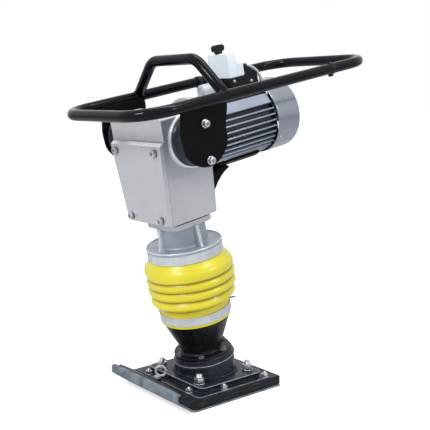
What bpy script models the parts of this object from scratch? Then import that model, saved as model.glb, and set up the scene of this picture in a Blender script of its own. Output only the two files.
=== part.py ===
"""Electric tamping rammer, built piece by piece at its real size.

World frame: metres, +Z up, -Y is the way the rammer travels, +Y is the side where the
operator stands, and the origin is the middle of the flat part of the sole, on the ground.
Everything above the shoe leans forward with the machine axis. Those pieces are drawn in the
machine frame (x, u, a): x is lateral, u points back along the motor shaft, and a runs up the
machine axis from the ground.
"""

import math

import bmesh
import bpy
from mathutils import Matrix, Vector

# Machine frame
LEAN_DEG = 10.94
AXIS_FOOT_Y = 0.012
GAP = 0.0003

# Shoe
SHOE_WIDTH = 0.300
SHOE_FLAT_LENGTH = 0.288
SOLE_THICKNESS = 0.005
SLAB_THICKNESS = 0.025
TOE_REACH = 0.061
TOE_RISE = 0.0375
TOE_LIP_HEIGHT = 0.0215
TOE_STEPS = 7
SLAB_TOE_LAND = 0.018
EYE_BOLT_X = -0.029
EYE_BOLT_AHEAD = 0.0025
EYE_PAD_RADIUS = 0.010
EYE_PAD_TOP = 0.0380
EYE_COLLAR_RADIUS = 0.0068
EYE_COLLAR_HEIGHT = 0.0068
EYE_SHANK_RADIUS = 0.0035
EYE_RING_RADIUS = 0.0135
EYE_WIRE_RADIUS = 0.0032
EYE_RING_SIDE = 0.0095
EYE_RING_HEIGHT = 0.0585
EYE_FACING_DEG = 50.0

# Foot flange: square plate with the leaning boss welded on it
PLATE_WIDTH = 0.240
PLATE_LENGTH = 0.208
PLATE_THICKNESS = 0.012
PLATE_CORNER_RADIUS = 0.016
BOSS_TOP_RADIUS = 0.0810
BOSS_BASE_RADIUS = 0.0850
BOSS_RIDGE_RADIUS = 0.0835
BOSS_RIDGE_HEIGHT = 0.086
BOSS_SETBACK = 0.003
BOSS_TOP = 0.104
BOSS_FLOOR = 0.060
STUD_INSET_X = 0.037
STUD_INSET_Y = 0.021
STUD_RADIUS = 0.008
STUD_RISE = 0.026
STUD_NUT_FLATS = 0.024
STUD_NUT_HEIGHT = 0.013
STUD_WASHER_RADIUS = 0.0155
STUD_WASHER_THICKNESS = 0.0025
SHOE_BOLT_RADIUS = 0.004
SHOE_BOLT_RISE = 0.014
SHOE_NUT_FLATS = 0.016
SHOE_NUT_HEIGHT = 0.007
SHOE_WASHER_RADIUS = 0.0105
SHOE_WASHER_THICKNESS = 0.002
SHOE_BOLT_BESIDE_PLATE = 0.011
SHOE_BOLT_FRONT_X = 0.090
SHOE_BOLT_INSIDE_PLATE_END = 0.0005
SHOE_BOLT_MIDDLE_Y = -0.039
SHOE_BOLT_AHEAD_OF_PLATE = 0.0185
SLAB_SLOPE_CLEARANCE = 0.0015

# Spring housing, the black cone
HOUSING_FLANGE_RADIUS = 0.0755
HOUSING_FLANGE_THICKNESS = 0.009
HOUSING_NECK_RADIUS = 0.0565
HOUSING_NECK_HEIGHT = 0.014
HOUSING_RIM_RADIUS = 0.0905
HOUSING_CONE_TOP = 0.193
HOUSING_TOP = 0.236
HOUSING_WALL = 0.006
HOUSING_BOLT_COUNT = 6
HOUSING_BOLT_FLATS = 0.012
HOUSING_BOLT_HEIGHT = 0.006

# Spring cylinder, springs and gland
CYLINDER_RADIUS = 0.050
CYLINDER_WALL = 0.0045
CYLINDER_TOP = 0.338
GLAND_THICKNESS = 0.012
SPRING_WIRE_RADIUS = 0.0048
SPRING_RADIUS = 0.036
SPRING_COILS = 6
SPRING_POINTS_PER_COIL = 8
PISTON_THICKNESS = 0.014
PISTON_LEVEL = 0.203

# Guide casting, bellows and clamp bands
GUIDE_WALL = 0.006
GUIDE_CLEARANCE = 0.0005
GUIDE_SLEEVE_BOTTOM = 0.262
GUIDE_BUSH_LENGTH = 0.030
GUIDE_BUSH_THICKNESS = 0.003
GUIDE_DISC_RADIUS = 0.1002
GUIDE_DISC_TOP = 0.4100
GUIDE_DISC_THICKNESS = 0.0065
GUIDE_SKIRT_RADIUS = 0.0945
GUIDE_SKIRT_BOTTOM = 0.3740
GUIDE_NECK_RADIUS = 0.0640
GUIDE_RIB_COUNT = 6
GUIDE_RIB_REACH = 0.080
GUIDE_RIB_THICKNESS = 0.007
GUIDE_TOP_FLANGE_HALF = 0.064
GUIDE_TOP_FLANGE_THICKNESS = 0.014
BELLOWS_WALL = 0.0035
BELLOWS_BOTTOM = 0.1975
BELLOWS_COLLAR_TOP = 0.2405
BELLOWS_GROOVES = ((0.0975, 0.2450), (0.1080, 0.2740), (0.1118, 0.2987), (0.1135, 0.3228))
BELLOWS_CROWNS = (0.1130, 0.1166, 0.1178)
BELLOWS_SHOULDER = (
    (0.1172, 0.3290),
    (0.1180, 0.3390),
    (0.1166, 0.3490),
    (0.1120, 0.3590),
    (0.1050, 0.3680),
)
BELLOWS_TOP = 0.4020
BAND_THICKNESS = 0.0018
LOWER_BAND_BOTTOM = 0.2045
LOWER_BAND_WIDTH = 0.0220
UPPER_BAND_BOTTOM = 0.3790
UPPER_BAND_WIDTH = 0.0230
BAND_SCREW_RADIUS = 0.0045
BAND_SCREW_LENGTH = 0.026

# Gearbox casing
CASING_BOTTOM = 0.4885
CASING_BOTTOM_HALF_WIDTH = 0.0908
CASING_SHOULDER_RISE = 0.2120
CASING_SHOULDER_HALF_WIDTH = 0.1108
CASING_TOP_RISE = 0.2680
CASING_FRONT = -0.085
CASING_REAR = 0.0565
CASING_WALL = 0.008
CASING_EDGE_RADIUS = 0.004
COVER_THICKNESS = 0.0132
COVER_SCREW_INSET_X = 0.017
COVER_SCREW_INSET_TOP = 0.020
COVER_SCREW_INSET_BOTTOM = 0.014
COVER_SCREW_FLATS = 0.013
COVER_SCREW_HEIGHT = 0.008
MOTOR_SPIGOT_RADIUS = 0.082
MOTOR_FLANGE_RADIUS = 0.100
MOTOR_FLANGE_FRONT = 0.072
MOTOR_FLANGE_REAR = 0.085
SIDE_BOSS_RADIUS = 0.0720
SIDE_BOSS_OUT = 0.1180
SIDE_BOSS_DEPTH = 0.0130

# Motor
MOTOR_AXIS_RISE = 0.1895
MOTOR_BODY_RADIUS = 0.0815
MOTOR_FIN_RADIUS = 0.0931
MOTOR_FIN_COUNT = 36
MOTOR_FIN_START_DEG = 8.0
MOTOR_FIN_THICKNESS = 0.0036
MOTOR_FIN_END = 0.302
MOTOR_BORE_RADIUS = 0.056
MOTOR_SHIELD_REAR = 0.112
MOTOR_PAD_ANGLE_DEG = 38.0
MOTOR_PAD_HALF_WIDTH = 0.0155
MOTOR_PAD_FACE = 0.0905
MOTOR_LUG_HALF_WIDTH = 0.0171
MOTOR_LUG_FRONT = 0.134
MOTOR_LUG_REAR = 0.196
MOTOR_LUG_RISE = 0.1205
FAN_COVER_RADIUS = 0.098
FAN_COVER_FRONT = 0.3045
FAN_COVER_REAR = 0.392
FAN_COVER_EDGE_RADIUS = 0.014
FAN_COVER_WALL = 0.002
FAN_GRILLE_SLOT_COUNT = 12
FAN_GRILLE_SLOT_WIDTH = 0.006
REAR_SHIELD_THICKNESS = 0.010
FAN_BLADE_COUNT = 6
FAN_RADIUS = 0.080
FAN_FRONT = 0.332
FAN_WIDTH = 0.030
SHAFT_RADIUS = 0.014
ROTOR_RADIUS = 0.0550
ROTOR_FRONT = 0.135
ROTOR_REAR = 0.280
BEARING_WIDTH = 0.012
BEARING_OUTER_RADIUS = 0.031

# Reduction gears
GEAR_MODULE = 0.002
PINION_TEETH = 14
CRANK_GEAR_TEETH = 63
GEAR_SEAT_RADIUS = 0.0175
GEAR_HOLE_CIRCLE = 0.040
GEAR_HOLE_RADIUS = 0.010
GEAR_HOLE_COUNT = 5
GEAR_WIDTH = 0.018
GEAR_FRONT = 0.0195
TOOTH_BACKLASH = 0.0003
PRESSURE_ANGLE_DEG = 20.0

# Crank and connecting rod
CRANK_THROW = 0.022
CRANK_PIN_RADIUS = 0.011
CRANK_WEB_THICKNESS = 0.0045
ROD_HALF_THICKNESS = 0.010
ROD_LENGTH = 0.127
ROD_BIG_END_RADIUS = 0.0185
ROD_SMALL_END_RADIUS = 0.0135
ROD_SHANK_HALF_WIDTH = 0.008
WRIST_PIN_RADIUS = 0.007
FORK_SLOT_HALF = 0.0155
CROSSHEAD_RADIUS = 0.0445
CROSSHEAD_RISE = 0.018
PISTON_ROD_RADIUS = 0.0130
SLOT_FLOOR_SPARE = 0.003

# Handle frame
TUBE_RADIUS = 0.0135
RAIL_LAP = 0.0019
LOOP_FRONT = -0.1805
LOOP_REAR = 0.5945
LOOP_RISE = 0.0925
LOOP_CORNER_RADIUS = 0.085
HOOP_U = 0.062
HOOP_TOP_HALF_WIDTH = 0.092
HOOP_RISE = 0.0915
HOOP_BEND_RADIUS = 0.040
BUFFER_RADIUS = 0.0660
BUFFER_U = -0.003
BUFFER_RISE = 0.2035
BUFFER_THICKNESS = 0.0490
BRACKET_THICKNESS = 0.008
BRACKET_U = -0.0050
BRACKET_TOP_FRONT = -0.0780
BRACKET_TOP_REAR = 0.0725
BRACKET_FLARE_LOW_RISE = 0.0360
BRACKET_FLARE_HIGH_RISE = 0.0640
BRACKET_ROUND_RADIUS = 0.0635
BRACKET_BOLT_UPPER = 0.0400
BRACKET_BOLT_LOWER = -0.0490
BRACKET_BOLT_FLATS = 0.016
BRACKET_BOLT_HEIGHT = 0.009
BRACKET_WASHER_RADIUS = 0.0110
BRACKET_WASHER_THICKNESS = 0.002

# Motor support, terminal box, switch and cable
SUPPORT_THICKNESS = 0.0077
SUPPORT_HALF_ANGLE_DEG = 34.0
SUPPORT_REAR = 0.2585
SUPPORT_WEB_HALF_WIDTH = 0.045
SUPPORT_WEB_EDGE = (
    (0.0568, 0.1800),
    (0.0900, 0.1540),
    (0.1094, 0.1300),
    (0.1263, 0.1153),
    (0.1384, 0.1070),
    (0.1530, 0.1015),
)
BOX_HALF_WIDTH = 0.045
TERMINAL_FRONT = 0.206
TERMINAL_REAR = 0.302
TERMINAL_LOW_RISE = 0.124
TERMINAL_RISE = 0.147
SWITCH_FRONT = 0.203
SWITCH_REAR = 0.2545
SWITCH_STEP = 0.233
SWITCH_RISE = 0.189
SWITCH_STEP_RISE = 0.161
BOX_EDGE_RADIUS = 0.004
KNOB_U = 0.2115
KNOB_BASE_RADIUS = 0.0090
KNOB_BASE_HEIGHT = 0.0050
KNOB_LEVER_LENGTH = 0.036
KNOB_LEVER_WIDTH = 0.013
KNOB_LEVER_HEIGHT = 0.0185
CABLE_RADIUS = 0.0045
CABLE_X = 0.010
CABLE_DROP = 0.008
CABLE_END_U = 0.350

ROUND_STEPS = 28
PLAIN_STEPS = 20
CIRCLE_STEPS = 16

LEAN = math.radians(LEAN_DEG)
SLAB_BOTTOM = SOLE_THICKNESS + GAP
SLAB_TOP = SLAB_BOTTOM + SLAB_THICKNESS
PLATE_BOTTOM = SLAB_TOP + GAP
PLATE_TOP = PLATE_BOTTOM + PLATE_THICKNESS
SHOE_BOLT_SIDE_X = PLATE_WIDTH / 2 + SHOE_BOLT_BESIDE_PLATE
SHOE_BOLT_FRONT_Y = -PLATE_LENGTH / 2 - SHOE_BOLT_AHEAD_OF_PLATE
SHOE_BOLT_REAR_Y = PLATE_LENGTH / 2 - SHOE_BOLT_INSIDE_PLATE_END
SLAB_FLAT_FRONT = SHOE_BOLT_FRONT_Y - SHOE_WASHER_RADIUS - SLAB_SLOPE_CLEARANCE
EYE_BOLT_Y = SLAB_FLAT_FRONT - EYE_BOLT_AHEAD
HOUSING_BOTTOM = BOSS_TOP + GAP
GLAND_TOP = CYLINDER_TOP + GAP + GLAND_THICKNESS
GUIDE_BORE = CYLINDER_RADIUS + GUIDE_BUSH_THICKNESS + 2 * GUIDE_CLEARANCE
GUIDE_OUTER = GUIDE_BORE + GUIDE_WALL
CASING_SHOULDER = CASING_BOTTOM + CASING_SHOULDER_RISE
CASING_TOP = CASING_BOTTOM + CASING_TOP_RISE
MOTOR_AXIS_HEIGHT = CASING_BOTTOM + MOTOR_AXIS_RISE
MOTOR_LUG_TOP = MOTOR_AXIS_HEIGHT + MOTOR_LUG_RISE
TERMINAL_LOW_TOP = MOTOR_AXIS_HEIGHT + TERMINAL_LOW_RISE
TERMINAL_TOP = MOTOR_AXIS_HEIGHT + TERMINAL_RISE
SWITCH_TOP = MOTOR_AXIS_HEIGHT + SWITCH_RISE
SWITCH_STEP_TOP = MOTOR_AXIS_HEIGHT + SWITCH_STEP_RISE
BUFFER_HEIGHT = CASING_BOTTOM + BUFFER_RISE
LOOP_HEIGHT = BUFFER_HEIGHT + LOOP_RISE
HOOP_TOP = LOOP_HEIGHT + HOOP_RISE
BRACKET_FLARE_LOW = BUFFER_HEIGHT + BRACKET_FLARE_LOW_RISE
BRACKET_FLARE_HIGH = BUFFER_HEIGHT + BRACKET_FLARE_HIGH_RISE
CASING_FLANGE_TOP = CASING_BOTTOM - GAP
CASING_FLANGE_BOTTOM = CASING_FLANGE_TOP - GUIDE_TOP_FLANGE_THICKNESS
CRANK_HEIGHT = MOTOR_AXIS_HEIGHT - GEAR_MODULE * (PINION_TEETH + CRANK_GEAR_TEETH) / 2
CRANK_PIN_HEIGHT = CRANK_HEIGHT - CRANK_THROW
WRIST_HEIGHT = CRANK_PIN_HEIGHT - ROD_LENGTH
SLOT_FLOOR = WRIST_HEIGHT - ROD_SMALL_END_RADIUS - 2 * CRANK_THROW - SLOT_FLOOR_SPARE
CROSSHEAD_BOTTOM = SLOT_FLOOR - 0.008
BUFFER_IN = SIDE_BOSS_OUT + GAP
BUFFER_OUT = BUFFER_IN + BUFFER_THICKNESS
BRACKET_IN = BUFFER_OUT + GAP
BRACKET_OUT = BRACKET_IN + BRACKET_THICKNESS
LOOP_HALF_WIDTH = BRACKET_OUT + TUBE_RADIUS - RAIL_LAP


def clear_scene():
    for item in list(bpy.data.objects):
        bpy.data.objects.remove(item, do_unlink=True)


def make_material(name, color, roughness, metallic):
    material = bpy.data.materials.new(name)
    material.use_nodes = True
    shader = material.node_tree.nodes["Principled BSDF"]
    shader.inputs["Base Color"].default_value = (*color, 1.0)
    shader.inputs["Roughness"].default_value = roughness
    shader.inputs["Metallic"].default_value = metallic
    return material


def make_empty(name, location, parent=None):
    empty = bpy.data.objects.new(name, None)
    empty.empty_display_size = 0.03
    empty.location = location
    empty.parent = parent
    bpy.context.scene.collection.objects.link(empty)
    return empty


def add_object(name, bm, finish, parent=None, pivot=(0, 0, 0)):
    """Puts the mesh in the scene with its origin at its parent's place, pivot."""
    bmesh.ops.recalc_face_normals(bm, faces=bm.faces)
    bmesh.ops.translate(bm, verts=bm.verts, vec=-Vector(pivot))
    mesh = bpy.data.meshes.new(name)
    bm.to_mesh(mesh)
    bm.free()
    mesh.shade_smooth()
    mesh.set_sharp_from_angle(angle=math.radians(35))
    obj = bpy.data.objects.new(name, mesh)
    obj.parent = parent
    if finish is not None:
        mesh.materials.append(make_material(name, *finish))
    bpy.context.scene.collection.objects.link(obj)
    return obj


def hide_helper(obj):
    obj.hide_render = True
    obj.display_type = "WIRE"
    return obj


def boolean(obj, helper, operation):
    modifier = obj.modifiers.new(operation.title(), "BOOLEAN")
    modifier.operation = operation
    modifier.solver = "EXACT"
    modifier.object = helper
    return modifier


def cut(obj, bm, pivot=(0, 0, 0)):
    helper = add_object(obj.name + "_cut", bm, None, obj.parent, pivot)
    boolean(obj, hide_helper(helper), "DIFFERENCE")


def join(obj, bm, pivot=(0, 0, 0)):
    helper = add_object(obj.name + "_add", bm, None, obj.parent, pivot)
    boolean(obj, hide_helper(helper), "UNION")


def bevel_edges(obj, width, segments=2, angle_deg=40):
    modifier = obj.modifiers.new("Edges", "BEVEL")
    modifier.width = width
    modifier.segments = segments
    modifier.limit_method = "ANGLE"
    modifier.angle_limit = math.radians(angle_deg)


AXIS_MATRICES = {
    "a": Matrix.Identity(3),
    "u": Matrix(((1, 0, 0), (0, 0, 1), (0, -1, 0))),
    "x": Matrix(((0, 0, 1), (1, 0, 0), (0, 1, 0))),
}


def turned(profile, steps=PLAIN_STEPS, axis="a", center=(0, 0, 0)):
    """Revolves closed (radius, height) points about an axis through center."""
    bm = bmesh.new()
    points = [bm.verts.new((radius, 0, height)) for radius, height in profile]
    ring = list(zip(points, points[1:] + points[:1]))
    edges = [bm.edges.new(pair) for pair in ring if pair[0].co.x + pair[1].co.x > 1e-9]
    bmesh.ops.spin(
        bm,
        geom=points + edges,
        cent=(0, 0, 0),
        axis=(0, 0, 1),
        angle=2 * math.pi,
        steps=steps,
        use_merge=True,
        use_duplicate=False,
    )
    bmesh.ops.remove_doubles(bm, verts=bm.verts, dist=1e-6)
    bmesh.ops.rotate(bm, verts=bm.verts, matrix=AXIS_MATRICES[axis])
    bmesh.ops.translate(bm, verts=bm.verts, vec=center)
    return bm


def outside(radius, steps):
    """Corner radius of a polygon of that many sides that stays outside a circle."""
    return radius / math.cos(math.pi / steps)


def disc(radius, low, high, steps=PLAIN_STEPS, axis="a", center=(0, 0, 0)):
    profile = [(0, low), (radius, low), (radius, high), (0, high)]
    return turned(profile, steps, axis, center)


def tube(inner, outer, low, high, steps=PLAIN_STEPS, axis="a", center=(0, 0, 0)):
    profile = [(inner, low), (outer, low), (outer, high), (inner, high)]
    return turned(profile, steps, axis, center)


def prism(outline, low, high, axis="a", center=(0, 0, 0)):
    """Extrudes a closed outline from low to high along an axis.

    Outline points are (x, u) for axis a, (u, a) for axis x and (x, -a) for axis u, which
    outline_xa makes from plain (x, a) points.
    """
    bm = bmesh.new()
    face = bm.faces.new([bm.verts.new((p, q, low)) for p, q in outline])
    grown = bmesh.ops.extrude_face_region(bm, geom=[face])
    lifted = [item for item in grown["geom"] if isinstance(item, bmesh.types.BMVert)]
    bmesh.ops.translate(bm, verts=lifted, vec=(0, 0, high - low))
    bmesh.ops.rotate(bm, verts=bm.verts, matrix=AXIS_MATRICES[axis])
    bmesh.ops.translate(bm, verts=bm.verts, vec=center)
    return bm


def outline_xa(points):
    """(x, a) points for a prism along u."""
    return [(x, -a) for x, a in points]


def block(low, high):
    """A box from its low corner to its high corner."""
    bm = bmesh.new()
    size = [h - l for l, h in zip(low, high)]
    middle = [(h + l) / 2 for l, h in zip(low, high)]
    bmesh.ops.create_cube(bm, size=1.0)
    bmesh.ops.scale(bm, verts=bm.verts, vec=size)
    bmesh.ops.translate(bm, verts=bm.verts, vec=middle)
    return bm


def rounded_rectangle(half_x, half_y, radius, steps=4):
    points = []
    corners = ((1, 1, 0), (-1, 1, 90), (-1, -1, 180), (1, -1, 270))
    for sign_x, sign_y, start in corners:
        for step in range(steps + 1):
            angle = math.radians(start + 90 * step / steps)
            x = sign_x * (half_x - radius) + radius * math.cos(angle)
            y = sign_y * (half_y - radius) + radius * math.sin(angle)
            points.append((x, y))
    return points


def merged(*meshes):
    """Puts several closed meshes that do not touch in one bmesh, for a cutter."""
    out = bmesh.new()
    for bm in meshes:
        mesh = bpy.data.meshes.new("merge")
        bm.to_mesh(mesh)
        bm.free()
        out.from_mesh(mesh)
        bpy.data.meshes.remove(mesh)
    return out


def fastener(washer_radius, washer_thickness, flats, nut_height, rod_radius, rod_rise):
    """Profile-built washer, hexagon nut and rod end as one body, standing on a = 0."""
    bm = turned(
        [
            (0, 0),
            (washer_radius, 0),
            (washer_radius, washer_thickness),
            (rod_radius, washer_thickness),
            (rod_radius, rod_rise),
            (0, rod_rise),
        ],
        10,
    )
    corner = flats / math.sqrt(3)
    hexagon = [
        (corner * math.cos(math.radians(60 * k)), corner * math.sin(math.radians(60 * k)))
        for k in range(6)
    ]
    nut = prism(hexagon, washer_thickness * 0.5, washer_thickness + nut_height)
    return bm, nut


def place_fastener(name, sizes, finish, parent, pivot, seat, matrix):
    """Adds a washer, nut and rod end at seat, its axis turned by matrix."""
    bodies = fastener(*sizes)
    for bm in bodies:
        bmesh.ops.rotate(bm, verts=bm.verts, matrix=matrix)
        bmesh.ops.translate(bm, verts=bm.verts, vec=seat)
    obj = add_object(name, bodies[0], finish, parent, pivot)
    join(obj, bodies[1], pivot)
    return obj


def curve_tube(name, points, radius, finish, parent, pivot, cyclic=False, resolution=3):
    curve = bpy.data.curves.new(name, "CURVE")
    curve.dimensions = "3D"
    curve.bevel_depth = radius
    curve.bevel_resolution = resolution
    curve.use_fill_caps = True
    spline = curve.splines.new("POLY")
    spline.points.add(len(points) - 1)
    for target, point in zip(spline.points, points):
        place = Vector(point) - Vector(pivot)
        target.co = (*place, 1.0)
    spline.use_cyclic_u = cyclic
    spline.use_smooth = True
    obj = bpy.data.objects.new(name, curve)
    obj.parent = parent
    curve.materials.append(make_material(name, *finish))
    bpy.context.scene.collection.objects.link(obj)
    return obj


def swept(points, radius, sides):
    """A round bar along a path in one upright plane, as a mesh with flat ends."""
    bm = bmesh.new()
    rings = []
    for index, point in enumerate(points):
        before = Vector(points[max(index - 1, 0)])
        after = Vector(points[min(index + 1, len(points) - 1)])
        along = (after - before).normalized()
        side = Vector((0, 1, 0))
        out = along.cross(side)
        ring = []
        for step in range(sides):
            angle = 2 * math.pi * step / sides
            place = Vector(point) + radius * (side * math.cos(angle) + out * math.sin(angle))
            ring.append(bm.verts.new(place))
        rings.append(ring)
    for first, second in zip(rings, rings[1:]):
        for step in range(sides):
            following = (step + 1) % sides
            bm.faces.new((first[step], first[following], second[following], second[step]))
    bm.faces.new(rings[0])
    bm.faces.new(rings[-1])
    return bm


def filleted_path(corners, radius, steps, closed):
    """Straight runs joined by arcs of one radius, as points along the centre line."""
    count = len(corners)
    points = []
    for index, corner in enumerate(corners):
        here = Vector(corner)
        if not closed and index in (0, count - 1):
            points.append(here)
            continue
        to_last = (Vector(corners[index - 1]) - here).normalized()
        to_next = (Vector(corners[(index + 1) % count]) - here).normalized()
        half = to_last.angle(to_next) / 2
        reach = radius / math.tan(half)
        center = here + (to_last + to_next).normalized() * radius / math.sin(half)
        start = here + to_last * reach - center
        end = here + to_next * reach - center
        sweep = start.angle(end)
        for step in range(steps + 1):
            share = step / steps
            a = math.sin((1 - share) * sweep) / math.sin(sweep)
            b = math.sin(share * sweep) / math.sin(sweep)
            points.append(center + start * a + end * b)
    return points


STEEL = ((0.52, 0.54, 0.57), 0.35, 1.0)
BRIGHT_STEEL = ((0.72, 0.73, 0.75), 0.25, 1.0)
TOE_STEEL = ((0.30, 0.36, 0.42), 0.45, 0.8)
BLACK_PAINT = ((0.012, 0.012, 0.014), 0.35, 0.0)
BLACK_RUBBER = ((0.014, 0.015, 0.018), 0.55, 0.0)
SILVER_PAINT = ((0.45, 0.47, 0.50), 0.42, 0.3)
MOTOR_SILVER = ((0.55, 0.58, 0.66), 0.38, 0.35)
YELLOW_RUBBER = ((0.83, 0.72, 0.02), 0.40, 0.0)
BRONZE = ((0.55, 0.36, 0.14), 0.40, 1.0)
WHITE_PLASTIC = ((0.80, 0.84, 0.87), 0.45, 0.0)
BLACK_PLASTIC = ((0.02, 0.02, 0.024), 0.40, 0.0)
CABLE_GREY = ((0.42, 0.45, 0.45), 0.55, 0.0)

UP = Matrix.Identity(3)
NEAR = AXIS_MATRICES["x"]
FAR = Matrix(((0, 0, -1), (-1, 0, 0), (0, 1, 0)))
FORWARD = Matrix(((1, 0, 0), (0, 0, -1), (0, 1, 0)))


def toe_profile(offset, lip_top):
    """Bottom line of the sole raised by offset, from the rear heel to the lip, as (y, z)."""
    half = SHOE_FLAT_LENGTH / 2
    swing = 2 * math.atan(TOE_RISE / TOE_REACH)
    radius = TOE_REACH / math.sin(swing)
    points = [(half, offset)]
    for step in range(TOE_STEPS + 1):
        angle = swing * step / TOE_STEPS
        y = -half - (radius - offset) * math.sin(angle)
        z = radius - (radius - offset) * math.cos(angle)
        points.append((y, z))
    points.append((points[-1][0], lip_top))
    return points


def along_x(outline, low, high):
    """Extrudes a closed (y, z) outline across the machine."""
    return prism(outline, low, high, "x")


def eye_place():
    return (EYE_BOLT_X, EYE_BOLT_Y, 0)


def build_shoe(foot):
    half_width = SHOE_WIDTH / 2
    lip_top = TOE_RISE + TOE_LIP_HEIGHT
    outer = toe_profile(0.0, lip_top)
    inner = toe_profile(SOLE_THICKNESS, lip_top)
    sole = add_object(
        "sole_plate", along_x(outer + inner[::-1], -half_width, half_width), TOE_STEEL, foot
    )
    bevel_edges(sole, 0.0015, 1, 60)
    under = toe_profile(SLAB_BOTTOM, lip_top - SOLE_THICKNESS)
    last_y = under[-1][0]
    top = [
        (last_y, lip_top - SOLE_THICKNESS),
        (last_y + SLAB_TOE_LAND, lip_top - SOLE_THICKNESS),
        (SLAB_FLAT_FRONT, SLAB_TOP),
        (SHOE_FLAT_LENGTH / 2, SLAB_TOP),
    ]
    slab = add_object(
        "shoe_slab",
        along_x(under[:-1] + top, -half_width, half_width),
        BLACK_PLASTIC,
        foot,
    )
    bevel_edges(slab, 0.003, 2, 35)
    join(slab, disc(EYE_PAD_RADIUS, SLAB_TOP - 0.01, EYE_PAD_TOP, 16, "a", eye_place()))


def build_foot_flange(foot, axis):
    outline = rounded_rectangle(PLATE_WIDTH / 2, PLATE_LENGTH / 2, PLATE_CORNER_RADIUS)
    plate = add_object(
        "foot_flange", prism(outline, PLATE_BOTTOM, PLATE_TOP), BLACK_PAINT, foot
    )
    setback = (0, BOSS_SETBACK, 0)
    top_profile = [
        (0, BOSS_RIDGE_HEIGHT - 0.012),
        (BOSS_TOP_RADIUS, BOSS_RIDGE_HEIGHT - 0.012),
        (BOSS_RIDGE_RADIUS, BOSS_RIDGE_HEIGHT - 0.004),
        (BOSS_RIDGE_RADIUS, BOSS_RIDGE_HEIGHT),
        (BOSS_TOP_RADIUS, BOSS_RIDGE_HEIGHT + 0.002),
        (BOSS_TOP_RADIUS - 0.001, BOSS_TOP - 0.004),
        (BOSS_TOP_RADIUS - 0.004, BOSS_TOP),
        (0, BOSS_TOP),
    ]
    top = turned(top_profile, ROUND_STEPS, "a", setback)
    top = hide_helper(add_object("foot_flange_top", top, None, axis))
    base_profile = [
        (0, PLATE_BOTTOM + PLATE_THICKNESS / 2),
        (BOSS_BASE_RADIUS, PLATE_BOTTOM + PLATE_THICKNESS / 2),
        (BOSS_BASE_RADIUS - 0.001, PLATE_TOP + 0.002),
        (BOSS_TOP_RADIUS, BOSS_TOP + 0.01),
        (0, BOSS_TOP + 0.01),
    ]
    base = turned(base_profile, ROUND_STEPS, "a", setback)
    boss = hide_helper(add_object("foot_flange_boss", base, None, foot))
    above = block((-0.2, -0.2, BOSS_RIDGE_HEIGHT - 0.006), (0.2, 0.2, 0.3))
    above = hide_helper(add_object("foot_flange_above", above, None, axis))
    boolean(boss, above, "DIFFERENCE")
    boolean(plate, boss, "UNION")
    boolean(plate, top, "UNION")
    bore = add_object(
        "foot_flange_bore",
        disc(CYLINDER_RADIUS + GAP, BOSS_FLOOR, BOSS_TOP + 0.02, ROUND_STEPS),
        None,
        axis,
    )
    boolean(plate, hide_helper(bore), "DIFFERENCE")


def build_shoe_fasteners(foot):
    stud_x = PLATE_WIDTH / 2 - STUD_INSET_X
    stud_y = PLATE_LENGTH / 2 - STUD_INSET_Y
    stud = (
        STUD_WASHER_RADIUS,
        STUD_WASHER_THICKNESS,
        STUD_NUT_FLATS,
        STUD_NUT_HEIGHT,
        STUD_RADIUS,
        STUD_RISE,
    )
    for side, x in (("near", stud_x), ("far", -stud_x)):
        for end, y in (("front", -stud_y), ("rear", stud_y)):
            seat = (x, y, PLATE_TOP + GAP)
            name = f"flange_stud_{side}_{end}"
            place_fastener(name, stud, BRIGHT_STEEL, foot, (0, 0, 0), seat, UP)
    bolt = (
        SHOE_WASHER_RADIUS,
        SHOE_WASHER_THICKNESS,
        SHOE_NUT_FLATS,
        SHOE_NUT_HEIGHT,
        SHOE_BOLT_RADIUS,
        SHOE_BOLT_RISE,
    )
    places = (
        ("front", SHOE_BOLT_FRONT_X, SHOE_BOLT_FRONT_Y),
        ("middle", SHOE_BOLT_SIDE_X, SHOE_BOLT_MIDDLE_Y),
        ("rear", SHOE_BOLT_SIDE_X, SHOE_BOLT_REAR_Y),
    )
    for side, sign in (("near", 1), ("far", -1)):
        for end, x, y in places:
            seat = (sign * x, y, SLAB_TOP + GAP)
            name = f"shoe_bolt_{side}_{end}"
            place_fastener(name, bolt, BRIGHT_STEEL, foot, (0, 0, 0), seat, UP)


def build_eye_bolt(foot):
    """A forged ring standing on a short shank and collar, turned to the near front corner."""
    base = EYE_PAD_TOP + GAP
    collar_top = base + EYE_COLLAR_HEIGHT
    collar = disc(EYE_COLLAR_RADIUS, base, collar_top, 12, "a", eye_place())
    eye = add_object("eye_bolt", collar, BRIGHT_STEEL, foot)
    facing = Matrix.Rotation(math.radians(EYE_FACING_DEG), 3, "Z")
    lean = math.atan2(EYE_RING_SIDE, EYE_RING_HEIGHT - base)
    reach = math.hypot(EYE_RING_SIDE, EYE_RING_HEIGHT - base)
    shank = disc(EYE_SHANK_RADIUS, 0.003, reach - EYE_RING_RADIUS + EYE_WIRE_RADIUS, 10)
    bmesh.ops.rotate(shank, verts=shank.verts, matrix=Matrix.Rotation(lean, 3, "Y"))
    section = []
    for step in range(8):
        angle = 2 * math.pi * step / 8
        radius = EYE_RING_RADIUS + EYE_WIRE_RADIUS * math.cos(angle)
        section.append((radius, EYE_WIRE_RADIUS * math.sin(angle)))
    ring = turned(section, CIRCLE_STEPS, "u")
    bmesh.ops.translate(ring, verts=ring.verts, vec=(EYE_RING_SIDE, 0, EYE_RING_HEIGHT - base))
    for bm in (shank, ring):
        bmesh.ops.rotate(bm, verts=bm.verts, matrix=facing)
        bmesh.ops.translate(bm, verts=bm.verts, vec=(EYE_BOLT_X, EYE_BOLT_Y, base))
    join(eye, shank)
    join(eye, ring)


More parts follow.
